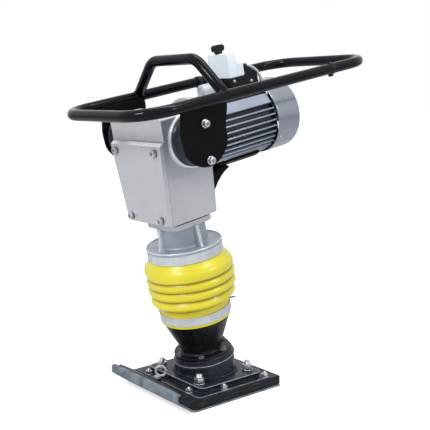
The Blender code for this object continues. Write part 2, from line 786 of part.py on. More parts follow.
def build_housing(axis):
    base = HOUSING_BOTTOM
    neck = base + HOUSING_FLANGE_THICKNESS
    bore = CYLINDER_RADIUS + GAP
    profile = [
        (bore, base),
        (HOUSING_FLANGE_RADIUS, base),
        (HOUSING_FLANGE_RADIUS, neck - 0.001),
        (HOUSING_FLANGE_RADIUS - 0.001, neck),
        (HOUSING_NECK_RADIUS + 0.003, neck),
        (HOUSING_NECK_RADIUS, neck + 0.003),
        (HOUSING_NECK_RADIUS, neck + HOUSING_NECK_HEIGHT),
        (HOUSING_RIM_RADIUS, HOUSING_CONE_TOP),
        (HOUSING_RIM_RADIUS, HOUSING_TOP),
        (HOUSING_RIM_RADIUS - HOUSING_WALL, HOUSING_TOP),
        (HOUSING_RIM_RADIUS - HOUSING_WALL, HOUSING_CONE_TOP + 0.002),
        (bore, neck + HOUSING_NECK_HEIGHT + 0.006),
    ]
    housing = add_object("spring_housing", turned(profile, ROUND_STEPS), BLACK_PAINT, axis)
    circle = (HOUSING_FLANGE_RADIUS + HOUSING_NECK_RADIUS) / 2 + 0.001
    corner = HOUSING_BOLT_FLATS / math.sqrt(3)
    heads = []
    for index in range(HOUSING_BOLT_COUNT):
        turn = math.radians(360 * (index + 0.5) / HOUSING_BOLT_COUNT - 10)
        center = (circle * math.cos(turn), circle * math.sin(turn))
        hexagon = []
        for k in range(6):
            spoke = turn + math.radians(60 * k)
            hexagon.append(
                (center[0] + corner * math.cos(spoke), center[1] + corner * math.sin(spoke))
            )
        heads.append(prism(hexagon, neck - 0.002, neck + HOUSING_BOLT_HEIGHT))
    join(housing, merged(*heads))


def coil_points(low, high, coils, radius):
    """A helix whose first and last half turns lie flatter, like ground spring ends."""
    count = coils * SPRING_POINTS_PER_COIL
    points = []
    for index in range(count + 1):
        share = index / count
        turn = 2 * math.pi * coils * share
        rise = share + 0.045 * math.sin(2 * math.pi * share)
        height = low + (high - low) * rise
        points.append((radius * math.cos(turn), radius * math.sin(turn), height))
    return points


def least_coil_gap(points, wire_radius):
    """Least clear distance between one turn and the next, measured on the points."""
    least = 1.0
    for index in range(len(points) - SPRING_POINTS_PER_COIL):
        here = Vector(points[index])
        above = Vector(points[index + SPRING_POINTS_PER_COIL])
        least = min(least, (above - here).length - 2 * wire_radius)
    return least


def build_spring_cylinder(axis):
    inner = CYLINDER_RADIUS - CYLINDER_WALL
    floor_top = BOSS_FLOOR + GAP + 0.006
    profile = [
        (0, BOSS_FLOOR + GAP),
        (CYLINDER_RADIUS, BOSS_FLOOR + GAP),
        (CYLINDER_RADIUS, CYLINDER_TOP),
        (inner, CYLINDER_TOP),
        (inner, floor_top),
        (0, floor_top),
    ]
    add_object("spring_cylinder", turned(profile, ROUND_STEPS), STEEL, axis)
    gland_profile = [
        (PISTON_ROD_RADIUS + GAP, CYLINDER_TOP - 0.008),
        (inner - 2 * GAP, CYLINDER_TOP - 0.008),
        (inner - 2 * GAP, CYLINDER_TOP + GAP),
        (CYLINDER_RADIUS, CYLINDER_TOP + GAP),
        (CYLINDER_RADIUS, GLAND_TOP - 0.002),
        (CYLINDER_RADIUS - 0.003, GLAND_TOP),
        (PISTON_ROD_RADIUS + GAP, GLAND_TOP),
    ]
    add_object("gland_nut", turned(gland_profile, PLAIN_STEPS), BRONZE, axis)
    wire = SPRING_WIRE_RADIUS
    spans = (
        ("lower_spring", floor_top, PISTON_LEVEL),
        ("upper_spring", PISTON_LEVEL + PISTON_THICKNESS, CYLINDER_TOP - 0.008),
    )
    for name, low, high in spans:
        points = coil_points(low + wire + GAP, high - wire - GAP, SPRING_COILS, SPRING_RADIUS)
        gap = least_coil_gap(points, wire)
        print(f"{name}: least gap between turns {gap * 1000:.1f} mm")
        curve_tube(name, points, wire, STEEL, axis, (0, 0, 0), resolution=1)


def bellows_outline():
    """Outer (radius, height) line: collar, small lobes, one tall lobe, top collar."""
    collar = HOUSING_RIM_RADIUS + GAP + BELLOWS_WALL
    top_collar = GUIDE_SKIRT_RADIUS + GAP + BELLOWS_WALL
    points = [(collar, BELLOWS_BOTTOM), (collar, BELLOWS_COLLAR_TOP)]
    for low, high, crown in zip(BELLOWS_GROOVES, BELLOWS_GROOVES[1:], BELLOWS_CROWNS):
        points.append(low)
        for share in (0.14, 0.5, 0.86):
            base = low[0] + (high[0] - low[0]) * share
            swell = math.sin(math.pi * share) ** 0.6
            height = low[1] + (high[1] - low[1]) * share
            points.append((base + (crown - base) * swell, height))
    points.append(BELLOWS_GROOVES[-1])
    points.extend(BELLOWS_SHOULDER)
    points.append((top_collar, UPPER_BAND_BOTTOM - 0.0005))
    points.append((top_collar, BELLOWS_TOP))
    return points


def build_bellows(axis):
    outer = bellows_outline()
    collar = HOUSING_RIM_RADIUS + GAP
    top_collar = GUIDE_SKIRT_RADIUS + GAP
    inner = []
    for radius, height in outer:
        if height <= BELLOWS_COLLAR_TOP:
            inner.append((collar, height))
        elif height >= UPPER_BAND_BOTTOM - 0.001:
            inner.append((top_collar, height))
        else:
            inner.append((radius - BELLOWS_WALL, height))
    thinned = inner[:2] + inner[2:-2:2] + inner[-2:]
    add_object(
        "bellows", turned(outer + thinned[::-1], ROUND_STEPS), YELLOW_RUBBER, axis
    )


def build_band(name, parent, inner, bottom, width, turn_deg):
    """A clamp band with its screw housing standing on the outside."""
    inner = inner + GAP
    outer = inner + BAND_THICKNESS
    band = add_object(
        name, tube(inner, outer, bottom, bottom + width, ROUND_STEPS), BRIGHT_STEEL, parent
    )
    middle = bottom + width / 2
    seat = outer + BAND_SCREW_RADIUS * 0.7
    screw = disc(BAND_SCREW_RADIUS, -BAND_SCREW_LENGTH / 2, BAND_SCREW_LENGTH / 2, 10, "u")
    bmesh.ops.translate(screw, verts=screw.verts, vec=(seat, 0, middle))
    turn = Matrix.Rotation(math.radians(turn_deg), 3, "Z")
    bmesh.ops.rotate(screw, verts=screw.verts, matrix=turn)
    join(band, screw)


def build_guide(upper):
    flange = CASING_FLANGE_BOTTOM
    disc_low = GUIDE_DISC_TOP - GUIDE_DISC_THICKNESS
    profile = [
        (GUIDE_BORE, GUIDE_SLEEVE_BOTTOM),
        (GUIDE_OUTER, GUIDE_SLEEVE_BOTTOM),
        (GUIDE_OUTER, disc_low - 0.006),
        (GUIDE_SKIRT_RADIUS - 0.006, disc_low - 0.006),
        (GUIDE_SKIRT_RADIUS - 0.006, GUIDE_SKIRT_BOTTOM),
        (GUIDE_SKIRT_RADIUS, GUIDE_SKIRT_BOTTOM),
        (GUIDE_SKIRT_RADIUS, disc_low),
        (GUIDE_DISC_RADIUS - 0.001, disc_low),
        (GUIDE_DISC_RADIUS, disc_low + 0.001),
        (GUIDE_DISC_RADIUS, GUIDE_DISC_TOP - 0.001),
        (GUIDE_DISC_RADIUS - 0.001, GUIDE_DISC_TOP),
        (GUIDE_NECK_RADIUS + 0.004, GUIDE_DISC_TOP),
        (GUIDE_NECK_RADIUS, GUIDE_DISC_TOP + 0.004),
        (GUIDE_NECK_RADIUS, flange + 0.002),
        (GUIDE_BORE, flange + 0.002),
    ]
    guide = add_object("guide_tube", turned(profile, ROUND_STEPS), SILVER_PAINT, upper)
    ribs = []
    for index in range(GUIDE_RIB_COUNT):
        rib = block(
            (GUIDE_NECK_RADIUS - 0.004, -GUIDE_RIB_THICKNESS / 2, GUIDE_DISC_TOP - 0.003),
            (GUIDE_RIB_REACH, GUIDE_RIB_THICKNESS / 2, flange + 0.003),
        )
        turn = Matrix.Rotation(math.radians(360 * (index + 0.5) / GUIDE_RIB_COUNT), 3, "Z")
        bmesh.ops.rotate(rib, verts=rib.verts, matrix=turn)
        ribs.append(rib)
    join(guide, merged(*ribs))
    half = GUIDE_TOP_FLANGE_HALF
    plate = prism(rounded_rectangle(half, half, 0.014, 3), flange, CASING_FLANGE_TOP)
    join(guide, plate)
    cut(guide, disc(GUIDE_BORE, flange - 0.004, CASING_FLANGE_TOP + 0.01, ROUND_STEPS))
    bush_low = GUIDE_SLEEVE_BOTTOM + 0.004
    bush = tube(
        CYLINDER_RADIUS + GUIDE_CLEARANCE,
        GUIDE_BORE - GAP,
        bush_low,
        bush_low + GUIDE_BUSH_LENGTH,
        ROUND_STEPS,
    )
    add_object("guide_bush", bush, BRONZE, upper)


def casing_outline(inset, low, high):
    """Tapered front view of the casing as (x, a) points, inset by a wall."""
    slope = (CASING_SHOULDER_HALF_WIDTH - CASING_BOTTOM_HALF_WIDTH) / (
        CASING_SHOULDER - CASING_BOTTOM
    )
    foot_half = CASING_BOTTOM_HALF_WIDTH + slope * (low - CASING_BOTTOM) - inset
    shoulder_half = CASING_SHOULDER_HALF_WIDTH - inset
    points = [(-foot_half, low), (foot_half, low), (shoulder_half, CASING_SHOULDER)]
    if high > CASING_SHOULDER:
        points += [(shoulder_half, high), (-shoulder_half, high)]
    points.append((-shoulder_half, CASING_SHOULDER))
    return outline_xa(points)


def build_casing(upper):
    motor_center = (0, 0, MOTOR_AXIS_HEIGHT)
    crank_center = (0, 0, CRANK_HEIGHT)
    outline = casing_outline(0, CASING_BOTTOM, CASING_TOP)
    casing = add_object(
        "gearbox_casing", prism(outline, CASING_FRONT, CASING_REAR, "u"), SILVER_PAINT, upper
    )
    bevel_edges(casing, CASING_EDGE_RADIUS, 2, 40)
    spigot = turned(
        [
            (0, CASING_REAR - 0.006),
            (MOTOR_SPIGOT_RADIUS, CASING_REAR - 0.006),
            (MOTOR_SPIGOT_RADIUS, MOTOR_FLANGE_FRONT),
            (MOTOR_FLANGE_RADIUS - 0.004, MOTOR_FLANGE_FRONT),
            (MOTOR_FLANGE_RADIUS, MOTOR_FLANGE_FRONT + 0.004),
            (MOTOR_FLANGE_RADIUS, MOTOR_FLANGE_REAR),
            (0, MOTOR_FLANGE_REAR),
        ],
        ROUND_STEPS,
        "u",
        motor_center,
    )
    join(casing, spigot)
    rear_inside = CASING_REAR - CASING_WALL
    gear_space = prism(
        casing_outline(CASING_WALL, CASING_BOTTOM + CASING_WALL, CASING_SHOULDER - 0.006),
        CASING_FRONT - 0.02,
        rear_inside,
        "u",
    )
    cut(casing, gear_space)
    top_half = CASING_SHOULDER_HALF_WIDTH - CASING_WALL - 0.002
    top_space = block(
        (-top_half, CASING_FRONT + CASING_WALL, CASING_SHOULDER - 0.009),
        (top_half, rear_inside - 0.001, CASING_TOP - CASING_WALL),
    )
    cut(casing, top_space)
    for sign in (1, -1):
        low, high = sorted((sign * (SIDE_BOSS_OUT - SIDE_BOSS_DEPTH), sign * SIDE_BOSS_OUT))
        boss_center = (0, BUFFER_U, BUFFER_HEIGHT)
        join(casing, disc(SIDE_BOSS_RADIUS, low, high, ROUND_STEPS, "x", boss_center))
    cut(casing, disc(GUIDE_BORE, CASING_BOTTOM - 0.01, CASING_BOTTOM + 0.02, ROUND_STEPS))
    bell_radius = MOTOR_SPIGOT_RADIUS - 0.010
    bell_front = CASING_REAR + 0.003
    bell = disc(
        bell_radius, bell_front, MOTOR_FLANGE_REAR + 0.01, PLAIN_STEPS, "u", motor_center
    )
    cut(casing, bell)
    seat_rear = rear_inside + BEARING_WIDTH
    seat_boss = disc(
        BEARING_OUTER_RADIUS + 0.008,
        rear_inside + 0.003,
        seat_rear + 0.005,
        PLAIN_STEPS,
        "u",
        crank_center,
    )
    join(casing, seat_boss)
    seat = disc(
        BEARING_OUTER_RADIUS + GAP, rear_inside - 0.02, seat_rear, PLAIN_STEPS, "u", crank_center
    )
    cut(casing, seat)
    shaft_hole = disc(
        SHAFT_RADIUS + 0.004,
        CASING_REAR - 0.03,
        CASING_REAR + 0.03,
        PLAIN_STEPS,
        "u",
        motor_center,
    )
    cut(casing, shaft_hole)


def build_cover(upper):
    rear = CASING_FRONT - GAP
    front = rear - COVER_THICKNESS
    outline = casing_outline(0, CASING_BOTTOM, CASING_SHOULDER)
    cover = add_object("gearbox_cover", prism(outline, front, rear, "u"), SILVER_PAINT, upper)
    bevel_edges(cover, 0.0035, 2, 40)
    screw = (
        COVER_SCREW_FLATS * 0.62,
        0.0015,
        COVER_SCREW_FLATS,
        COVER_SCREW_HEIGHT,
        COVER_SCREW_FLATS * 0.2,
        COVER_SCREW_HEIGHT * 0.9,
    )
    slope = (CASING_SHOULDER_HALF_WIDTH - CASING_BOTTOM_HALF_WIDTH) / (
        CASING_SHOULDER - CASING_BOTTOM
    )
    for level, height in (
        ("top", CASING_SHOULDER - COVER_SCREW_INSET_TOP),
        ("bottom", CASING_BOTTOM + COVER_SCREW_INSET_BOTTOM),
    ):
        half = CASING_BOTTOM_HALF_WIDTH + slope * (height - CASING_BOTTOM)
        for side, sign in (("near", 1), ("far", -1)):
            seat = (sign * (half - COVER_SCREW_INSET_X), front - GAP, height)
            name = f"cover_screw_{side}_{level}"
            place_fastener(name, screw, BRIGHT_STEEL, upper, (0, 0, 0), seat, FORWARD)


def build_buffers(upper):
    for side, matrix, sign in (("near", NEAR, 1), ("far", FAR, -1)):
        low = BUFFER_IN
        high = BUFFER_OUT
        profile = [
            (0, low),
            (BUFFER_RADIUS, low),
            (BUFFER_RADIUS, low + 0.005),
            (BUFFER_RADIUS - 0.002, low + 0.008),
            (BUFFER_RADIUS - 0.002, high - 0.008),
            (BUFFER_RADIUS, high - 0.005),
            (BUFFER_RADIUS, high),
            (0, high),
        ]
        bm = turned(profile, ROUND_STEPS)
        bmesh.ops.rotate(bm, verts=bm.verts, matrix=matrix)
        bmesh.ops.translate(bm, verts=bm.verts, vec=(0, BUFFER_U, BUFFER_HEIGHT))
        add_object(f"rubber_buffer_{side}", bm, BLACK_RUBBER, upper)


def build_motor(upper):
    center = (0, 0, MOTOR_AXIS_HEIGHT)
    shield_front = MOTOR_FLANGE_REAR + GAP
    shield = turned(
        [
            (SHAFT_RADIUS + 0.002, shield_front),
            (MOTOR_FLANGE_RADIUS - 0.002, shield_front),
            (MOTOR_FLANGE_RADIUS - 0.002, shield_front + 0.010),
            (MOTOR_FLANGE_RADIUS - 0.006, shield_front + 0.014),
            (MOTOR_BODY_RADIUS, shield_front + 0.018),
            (MOTOR_BODY_RADIUS, MOTOR_SHIELD_REAR),
            (BEARING_OUTER_RADIUS + GAP, MOTOR_SHIELD_REAR),
            (BEARING_OUTER_RADIUS + GAP, MOTOR_SHIELD_REAR - BEARING_WIDTH),
            (SHAFT_RADIUS + 0.002, MOTOR_SHIELD_REAR - BEARING_WIDTH),
        ],
        ROUND_STEPS,
        "u",
        center,
    )
    add_object("motor_front_shield", shield, SILVER_PAINT, upper)
    build_stator(upper, center)
    rear_low = MOTOR_FIN_END - REAR_SHIELD_THICKNESS
    rear = turned(
        [
            (SHAFT_RADIUS + 0.001, rear_low + 0.002),
            (BEARING_OUTER_RADIUS + 0.005, rear_low + 0.002),
            (MOTOR_BORE_RADIUS - GAP, rear_low + 0.002),
            (MOTOR_BORE_RADIUS - GAP, MOTOR_FIN_END + GAP),
            (MOTOR_BODY_RADIUS - 0.001, MOTOR_FIN_END + GAP),
            (MOTOR_BODY_RADIUS - 0.001, MOTOR_FIN_END + 0.006),
            (BEARING_OUTER_RADIUS + 0.006, MOTOR_FIN_END + 0.008),
            (BEARING_OUTER_RADIUS + GAP, MOTOR_FIN_END + 0.008),
            (BEARING_OUTER_RADIUS + GAP, rear_low + 0.006),
            (SHAFT_RADIUS + 0.001, rear_low + 0.006),
        ],
        PLAIN_STEPS,
        "u",
        center,
    )
    add_object("motor_rear_shield", rear, SILVER_PAINT, upper)
    seats = (
        ("motor_bearing_front", MOTOR_SHIELD_REAR - BEARING_WIDTH + GAP),
        ("motor_bearing_rear", rear_low + 0.006 + GAP),
    )
    for name, low in seats:
        bearing = tube(
            SHAFT_RADIUS + GAP,
            BEARING_OUTER_RADIUS,
            low,
            low + BEARING_WIDTH - 2 * GAP,
            PLAIN_STEPS,
            "u",
            center,
        )
        add_object(name, bearing, STEEL, upper)
    build_fan_cover(upper, center)


def build_stator(upper, center):
    """Finned frame in one casting with a flat pad on each side and a lug on top."""
    points = []
    start = MOTOR_SHIELD_REAR + GAP
    tip_half = MOTOR_FIN_THICKNESS / 2 / MOTOR_FIN_RADIUS
    root_half = (MOTOR_FIN_THICKNESS / 2 + 0.0009) / MOTOR_BODY_RADIUS
    for index in range(MOTOR_FIN_COUNT):
        turn = math.radians(360 * index / MOTOR_FIN_COUNT + MOTOR_FIN_START_DEG)
        for radius, swing in (
            (MOTOR_BODY_RADIUS, -root_half),
            (MOTOR_FIN_RADIUS, -tip_half),
            (MOTOR_FIN_RADIUS, tip_half),
            (MOTOR_BODY_RADIUS, root_half),
        ):
            angle = turn + swing
            points.append((radius * math.cos(angle), -radius * math.sin(angle)))
    stator = add_object(
        "motor_stator", prism(points, start, MOTOR_FIN_END, "u", center), MOTOR_SILVER, upper
    )
    for side_deg in (MOTOR_PAD_ANGLE_DEG, 180 - MOTOR_PAD_ANGLE_DEG):
        pad = block(
            (MOTOR_BODY_RADIUS - 0.006, start, -MOTOR_PAD_HALF_WIDTH),
            (MOTOR_PAD_FACE, MOTOR_FIN_END, MOTOR_PAD_HALF_WIDTH),
        )
        turn = Matrix.Rotation(-math.radians(side_deg), 3, "Y")
        bmesh.ops.rotate(pad, verts=pad.verts, matrix=turn)
        bmesh.ops.translate(pad, verts=pad.verts, vec=center)
        clear = block(
            (MOTOR_PAD_FACE, start - 0.01, -MOTOR_PAD_HALF_WIDTH),
            (MOTOR_FIN_RADIUS + 0.01, MOTOR_FIN_END + 0.01, MOTOR_PAD_HALF_WIDTH),
        )
        bmesh.ops.rotate(clear, verts=clear.verts, matrix=turn)
        bmesh.ops.translate(clear, verts=clear.verts, vec=center)
        join(stator, pad)
        cut(stator, clear)
    lug = []
    half = MOTOR_LUG_HALF_WIDTH
    for step in range(9):
        angle = math.pi * step / 8
        lug.append((half * math.cos(angle), MOTOR_LUG_TOP - half * (1 - math.sin(angle))))
    lug_foot = MOTOR_AXIS_HEIGHT + MOTOR_BODY_RADIUS * 0.8
    lug += [(-half, lug_foot), (half, lug_foot)]
    join(stator, prism(outline_xa(lug), MOTOR_LUG_FRONT, MOTOR_LUG_REAR, "u"))
    cut(
        stator,
        disc(MOTOR_BORE_RADIUS, start - 0.01, MOTOR_FIN_END + 0.01, PLAIN_STEPS, "u", center),
    )


def build_fan_cover(upper, center):
    outer = FAN_COVER_RADIUS
    wall = FAN_COVER_WALL
    edge = FAN_COVER_EDGE_RADIUS
    rear = FAN_COVER_REAR
    outside = [(outer, FAN_COVER_FRONT)]
    inside = [(outer - wall, FAN_COVER_FRONT)]
    for step in range(5):
        angle = math.radians(90 * step / 4)
        ring = outer - edge + edge * math.cos(angle)
        outside.append((ring, rear - edge + edge * math.sin(angle)))
        ring = outer - edge + (edge - wall) * math.cos(angle)
        inside.append((ring, rear - edge + (edge - wall) * math.sin(angle)))
    outside.append((0, rear))
    inside.append((0, rear - wall))
    shell = turned(outside + inside[::-1], ROUND_STEPS, "u", center)
    cover = add_object("fan_cover", shell, SILVER_PAINT, upper)
    slots = []
    for index in range(FAN_GRILLE_SLOT_COUNT):
        turn = Matrix.Rotation(2 * math.pi * index / FAN_GRILLE_SLOT_COUNT, 3, "Y")
        slot = block(
            (outer * 0.30, rear - 0.01, -FAN_GRILLE_SLOT_WIDTH / 2),
            (outer * 0.76, rear + 0.01, FAN_GRILLE_SLOT_WIDTH / 2),
        )
        bmesh.ops.rotate(slot, verts=slot.verts, matrix=turn)
        bmesh.ops.translate(slot, verts=slot.verts, vec=center)
        slots.append(slot)
    cut(cover, merged(*slots))


def involute_point(base_radius, roll):
    """Point of an involute after the string has unwound through roll radians."""
    x = base_radius * (math.cos(roll) + roll * math.sin(roll))
    y = base_radius * (math.sin(roll) - roll * math.cos(roll))
    return math.hypot(x, y), math.atan2(y, x)


def gear_outline(teeth, backlash, turn):
    """Closed outline of an involute spur gear, with one tooth centred on turn."""
    pitch = GEAR_MODULE * teeth / 2
    base = pitch * math.cos(math.radians(PRESSURE_ANGLE_DEG))
    tip = pitch + GEAR_MODULE
    root = pitch - 1.25 * GEAR_MODULE
    alpha = math.radians(PRESSURE_ANGLE_DEG)
    pitch_swing = math.tan(alpha) - alpha
    half_tooth = math.pi / (2 * teeth) - backlash / (2 * pitch)
    low_roll = 0.0
    if root > base:
        low_roll = math.sqrt((root / base) ** 2 - 1)
    high_roll = math.sqrt((tip / base) ** 2 - 1)
    flank = []
    for share in (0.0, 0.6, 1.0) if teeth < 20 else (0.0, 1.0):
        radius, swing = involute_point(base, low_roll + (high_roll - low_roll) * share)
        flank.append((radius, half_tooth + pitch_swing - swing))
    points = []
    step = 2 * math.pi / teeth
    for tooth in range(teeth):
        middle = turn + tooth * step
        root_swing = flank[0][1]
        side = [(root, root_swing)] + flank if flank[0][0] > root + 1e-6 else flank
        for radius, swing in side:
            angle = middle - swing
            points.append((radius * math.cos(angle), radius * math.sin(angle)))
        for radius, swing in reversed(side):
            angle = middle + swing
            points.append((radius * math.cos(angle), radius * math.sin(angle)))
    return points


def build_rotor(rotor, center):
    """Motor shaft with its rotor core, the fan on its tail and the pinion on its nose."""
    gear_rear = GEAR_FRONT + GEAR_WIDTH
    shaft = turned(
        [
            (0, GEAR_FRONT - 0.004),
            (SHAFT_RADIUS * 0.62, GEAR_FRONT - 0.004),
            (SHAFT_RADIUS * 0.62, gear_rear + 0.003),
            (SHAFT_RADIUS, gear_rear + 0.003),
            (SHAFT_RADIUS, ROTOR_FRONT),
            (ROTOR_RADIUS, ROTOR_FRONT),
            (ROTOR_RADIUS, ROTOR_REAR),
            (SHAFT_RADIUS, ROTOR_REAR),
            (SHAFT_RADIUS, FAN_FRONT - GAP),
            (SHAFT_RADIUS * 0.7, FAN_FRONT - GAP),
            (SHAFT_RADIUS * 0.7, FAN_FRONT + FAN_WIDTH + 0.002),
            (0, FAN_FRONT + FAN_WIDTH + 0.002),
        ],
        PLAIN_STEPS,
        "u",
        center,
    )
    add_object("rotor_shaft", shaft, STEEL, rotor, center)
    turn = math.pi / 2
    outline = gear_outline(PINION_TEETH, TOOTH_BACKLASH, turn)
    pinion = add_object(
        "drive_pinion", prism(outline, GEAR_FRONT, gear_rear, "u", center), STEEL, rotor, center
    )
    bore = disc(
        SHAFT_RADIUS * 0.62 + GAP, GEAR_FRONT - 0.01, gear_rear + 0.01, CIRCLE_STEPS, "u", center
    )
    cut(pinion, bore, center)
    hub = tube(
        SHAFT_RADIUS * 0.7 + GAP,
        SHAFT_RADIUS * 1.5,
        FAN_FRONT,
        FAN_FRONT + FAN_WIDTH,
        CIRCLE_STEPS,
        "u",
        center,
    )
    fan = add_object("cooling_fan", hub, BLACK_PLASTIC, rotor, center)
    blades = []
    for index in range(FAN_BLADE_COUNT):
        spin = Matrix.Rotation(2 * math.pi * index / FAN_BLADE_COUNT, 3, "Y")
        blade = block(
            (SHAFT_RADIUS * 1.3, FAN_FRONT + 0.004, -0.002),
            (FAN_RADIUS, FAN_FRONT + FAN_WIDTH - 0.002, 0.002),
        )
        bmesh.ops.rotate(blade, verts=blade.verts, matrix=spin)
        bmesh.ops.translate(blade, verts=blade.verts, vec=center)
        blades.append(blade)
    join(fan, merged(*blades), center)


def build_crank(crank, center):
    """Crank gear on its shaft, with the web and pin that drive the connecting rod."""
    gear_rear = GEAR_FRONT + GEAR_WIDTH
    turn = -math.pi / 2 + math.pi / CRANK_GEAR_TEETH
    outline = gear_outline(CRANK_GEAR_TEETH, TOOTH_BACKLASH, turn)
    gear = add_object(
        "crank_gear", prism(outline, GEAR_FRONT, gear_rear, "u", center), STEEL, crank, center
    )
    bore_radius = GEAR_SEAT_RADIUS + GAP
    bore = disc(bore_radius, GEAR_FRONT - 0.01, gear_rear + 0.01, PLAIN_STEPS, "u", center)
    cut(gear, bore, center)
    holes = []
    for index in range(GEAR_HOLE_COUNT):
        angle = 2 * math.pi * (index + 0.5) / GEAR_HOLE_COUNT
        x = GEAR_HOLE_CIRCLE * math.cos(angle)
        place = (x, 0, center[2] + GEAR_HOLE_CIRCLE * math.sin(angle))
        hole = disc(GEAR_HOLE_RADIUS, GEAR_FRONT - 0.01, gear_rear + 0.01, 12, "u", place)
        holes.append(hole)
    cut(gear, merged(*holes), center)
    web_rear = GEAR_FRONT - GAP
    web_front = web_rear - CRANK_WEB_THICKNESS
    shaft = turned(
        [
            (0, web_front),
            (CRANK_THROW + CRANK_PIN_RADIUS + 0.006, web_front),
            (CRANK_THROW + CRANK_PIN_RADIUS + 0.006, web_rear),
            (GEAR_SEAT_RADIUS, web_rear),
            (GEAR_SEAT_RADIUS, CASING_REAR - CASING_WALL - 0.001),
            (SHAFT_RADIUS, CASING_REAR - CASING_WALL - 0.001),
            (SHAFT_RADIUS, CASING_REAR + BEARING_WIDTH - CASING_WALL - 0.001),
            (0, CASING_REAR + BEARING_WIDTH - CASING_WALL - 0.001),
        ],
        PLAIN_STEPS,
        "u",
        center,
    )
    body = add_object("crankshaft", shaft, STEEL, crank, center)
    pin = disc(
        CRANK_PIN_RADIUS,
        -ROD_HALF_THICKNESS - 0.004,
        web_front + 0.002,
        CIRCLE_STEPS,
        "u",
        (0, 0, CRANK_PIN_HEIGHT),
    )
    join(body, pin, center)


def build_crank_bearing(upper, center):
    low = CASING_REAR - CASING_WALL + GAP
    bearing = tube(
        SHAFT_RADIUS + GAP,
        BEARING_OUTER_RADIUS,
        low,
        low + BEARING_WIDTH - 2 * GAP,
        PLAIN_STEPS,
        "u",
        center,
    )
    add_object("crank_bearing", bearing, STEEL, upper)


def build_rod(rod, pivot):
    """Connecting rod: big end round the crank pin, small end round the wrist pin."""
    half = ROD_HALF_THICKNESS
    big = disc(ROD_BIG_END_RADIUS, -half, half, CIRCLE_STEPS, "u", (0, 0, CRANK_PIN_HEIGHT))
    body = add_object("connecting_rod", big, STEEL, rod, pivot)
    small = disc(ROD_SMALL_END_RADIUS, -half, half, CIRCLE_STEPS, "u", (0, 0, WRIST_HEIGHT))
    join(body, small, pivot)
    shank = block(
        (-ROD_SHANK_HALF_WIDTH, -half * 0.6, WRIST_HEIGHT),
        (ROD_SHANK_HALF_WIDTH, half * 0.6, CRANK_PIN_HEIGHT),
    )
    join(body, shank, pivot)
    holes = merged(
        disc(CRANK_PIN_RADIUS + GAP, -0.03, 0.03, CIRCLE_STEPS, "u", (0, 0, CRANK_PIN_HEIGHT)),
        disc(WRIST_PIN_RADIUS + GAP, -0.03, 0.03, CIRCLE_STEPS, "u", (0, 0, WRIST_HEIGHT)),
    )
    cut(body, holes, pivot)
    wrist = disc(
        WRIST_PIN_RADIUS,
        -FORK_SLOT_HALF + GAP,
        FORK_SLOT_HALF - GAP,
        CIRCLE_STEPS,
        "u",
        (0, 0, WRIST_HEIGHT),
    )
    add_object("wrist_pin", wrist, STEEL, rod, pivot)


def build_piston_rod(piston, pivot):
    """Forked crosshead, rod and spring piston as one forging."""
    profile = [
        (0, PISTON_LEVEL + GAP),
        (SPRING_RADIUS + 0.008, PISTON_LEVEL + GAP),
        (SPRING_RADIUS + 0.008, PISTON_LEVEL + PISTON_THICKNESS - GAP),
        (PISTON_ROD_RADIUS, PISTON_LEVEL + PISTON_THICKNESS - GAP),
        (PISTON_ROD_RADIUS, CROSSHEAD_BOTTOM - 0.006),
        (CROSSHEAD_RADIUS - 0.004, CROSSHEAD_BOTTOM),
        (CROSSHEAD_RADIUS, CROSSHEAD_BOTTOM + 0.004),
        (CROSSHEAD_RADIUS, WRIST_HEIGHT + CROSSHEAD_RISE),
        (0, WRIST_HEIGHT + CROSSHEAD_RISE),
    ]
    rod = add_object("piston_rod", turned(profile, ROUND_STEPS), STEEL, piston, pivot)
    slot = block(
        (-CROSSHEAD_RADIUS - 0.01, -FORK_SLOT_HALF, SLOT_FLOOR),
        (CROSSHEAD_RADIUS + 0.01, FORK_SLOT_HALF, WRIST_HEIGHT + CROSSHEAD_RISE + 0.01),
    )
    cut(rod, slot, pivot)


def build_support(upper):
    """Cradle under the finned frame, with a web that runs under the flange to the casing."""
    center = (0, 0, MOTOR_AXIS_HEIGHT)
    inner = MOTOR_FIN_RADIUS + GAP
    outer = inner + SUPPORT_THICKNESS
    half = math.radians(SUPPORT_HALF_ANGLE_DEG)
    arc = [half * (2 * step / 10 - 1) for step in range(11)]
    outline = [(outer * math.sin(t), MOTOR_AXIS_HEIGHT - outer * math.cos(t)) for t in arc]
    outline += [
        (inner * math.sin(t), MOTOR_AXIS_HEIGHT - inner * math.cos(t)) for t in reversed(arc)
    ]
    cradle = prism(outline_xa(outline), MOTOR_SHIELD_REAR + GAP, SUPPORT_REAR, "u")
    support = add_object("motor_support", cradle, BLACK_PAINT, upper)
    front = CASING_REAR + GAP
    under = [(u, MOTOR_AXIS_HEIGHT - drop) for u, drop in SUPPORT_WEB_EDGE]
    under[0] = (front, under[0][1])
    web_top = MOTOR_AXIS_HEIGHT - inner - 0.002
    web = prism(
        under + [(under[-1][0], web_top), (front, web_top)],
        -SUPPORT_WEB_HALF_WIDTH,
        SUPPORT_WEB_HALF_WIDTH,
        "x",
    )
    join(support, web)
    flange_clear = disc(
        MOTOR_FLANGE_RADIUS + GAP,
        MOTOR_FLANGE_FRONT - GAP,
        MOTOR_SHIELD_REAR + GAP,
        ROUND_STEPS,
        "u",
        center,
    )
    cut(support, flange_clear)
    seat_clear = disc(
        BEARING_OUTER_RADIUS + 0.008 + GAP,
        front - 0.01,
        CASING_REAR - CASING_WALL + BEARING_WIDTH + 0.005 + GAP,
        PLAIN_STEPS,
        "u",
        (0, 0, CRANK_HEIGHT),
    )
    cut(support, seat_clear)


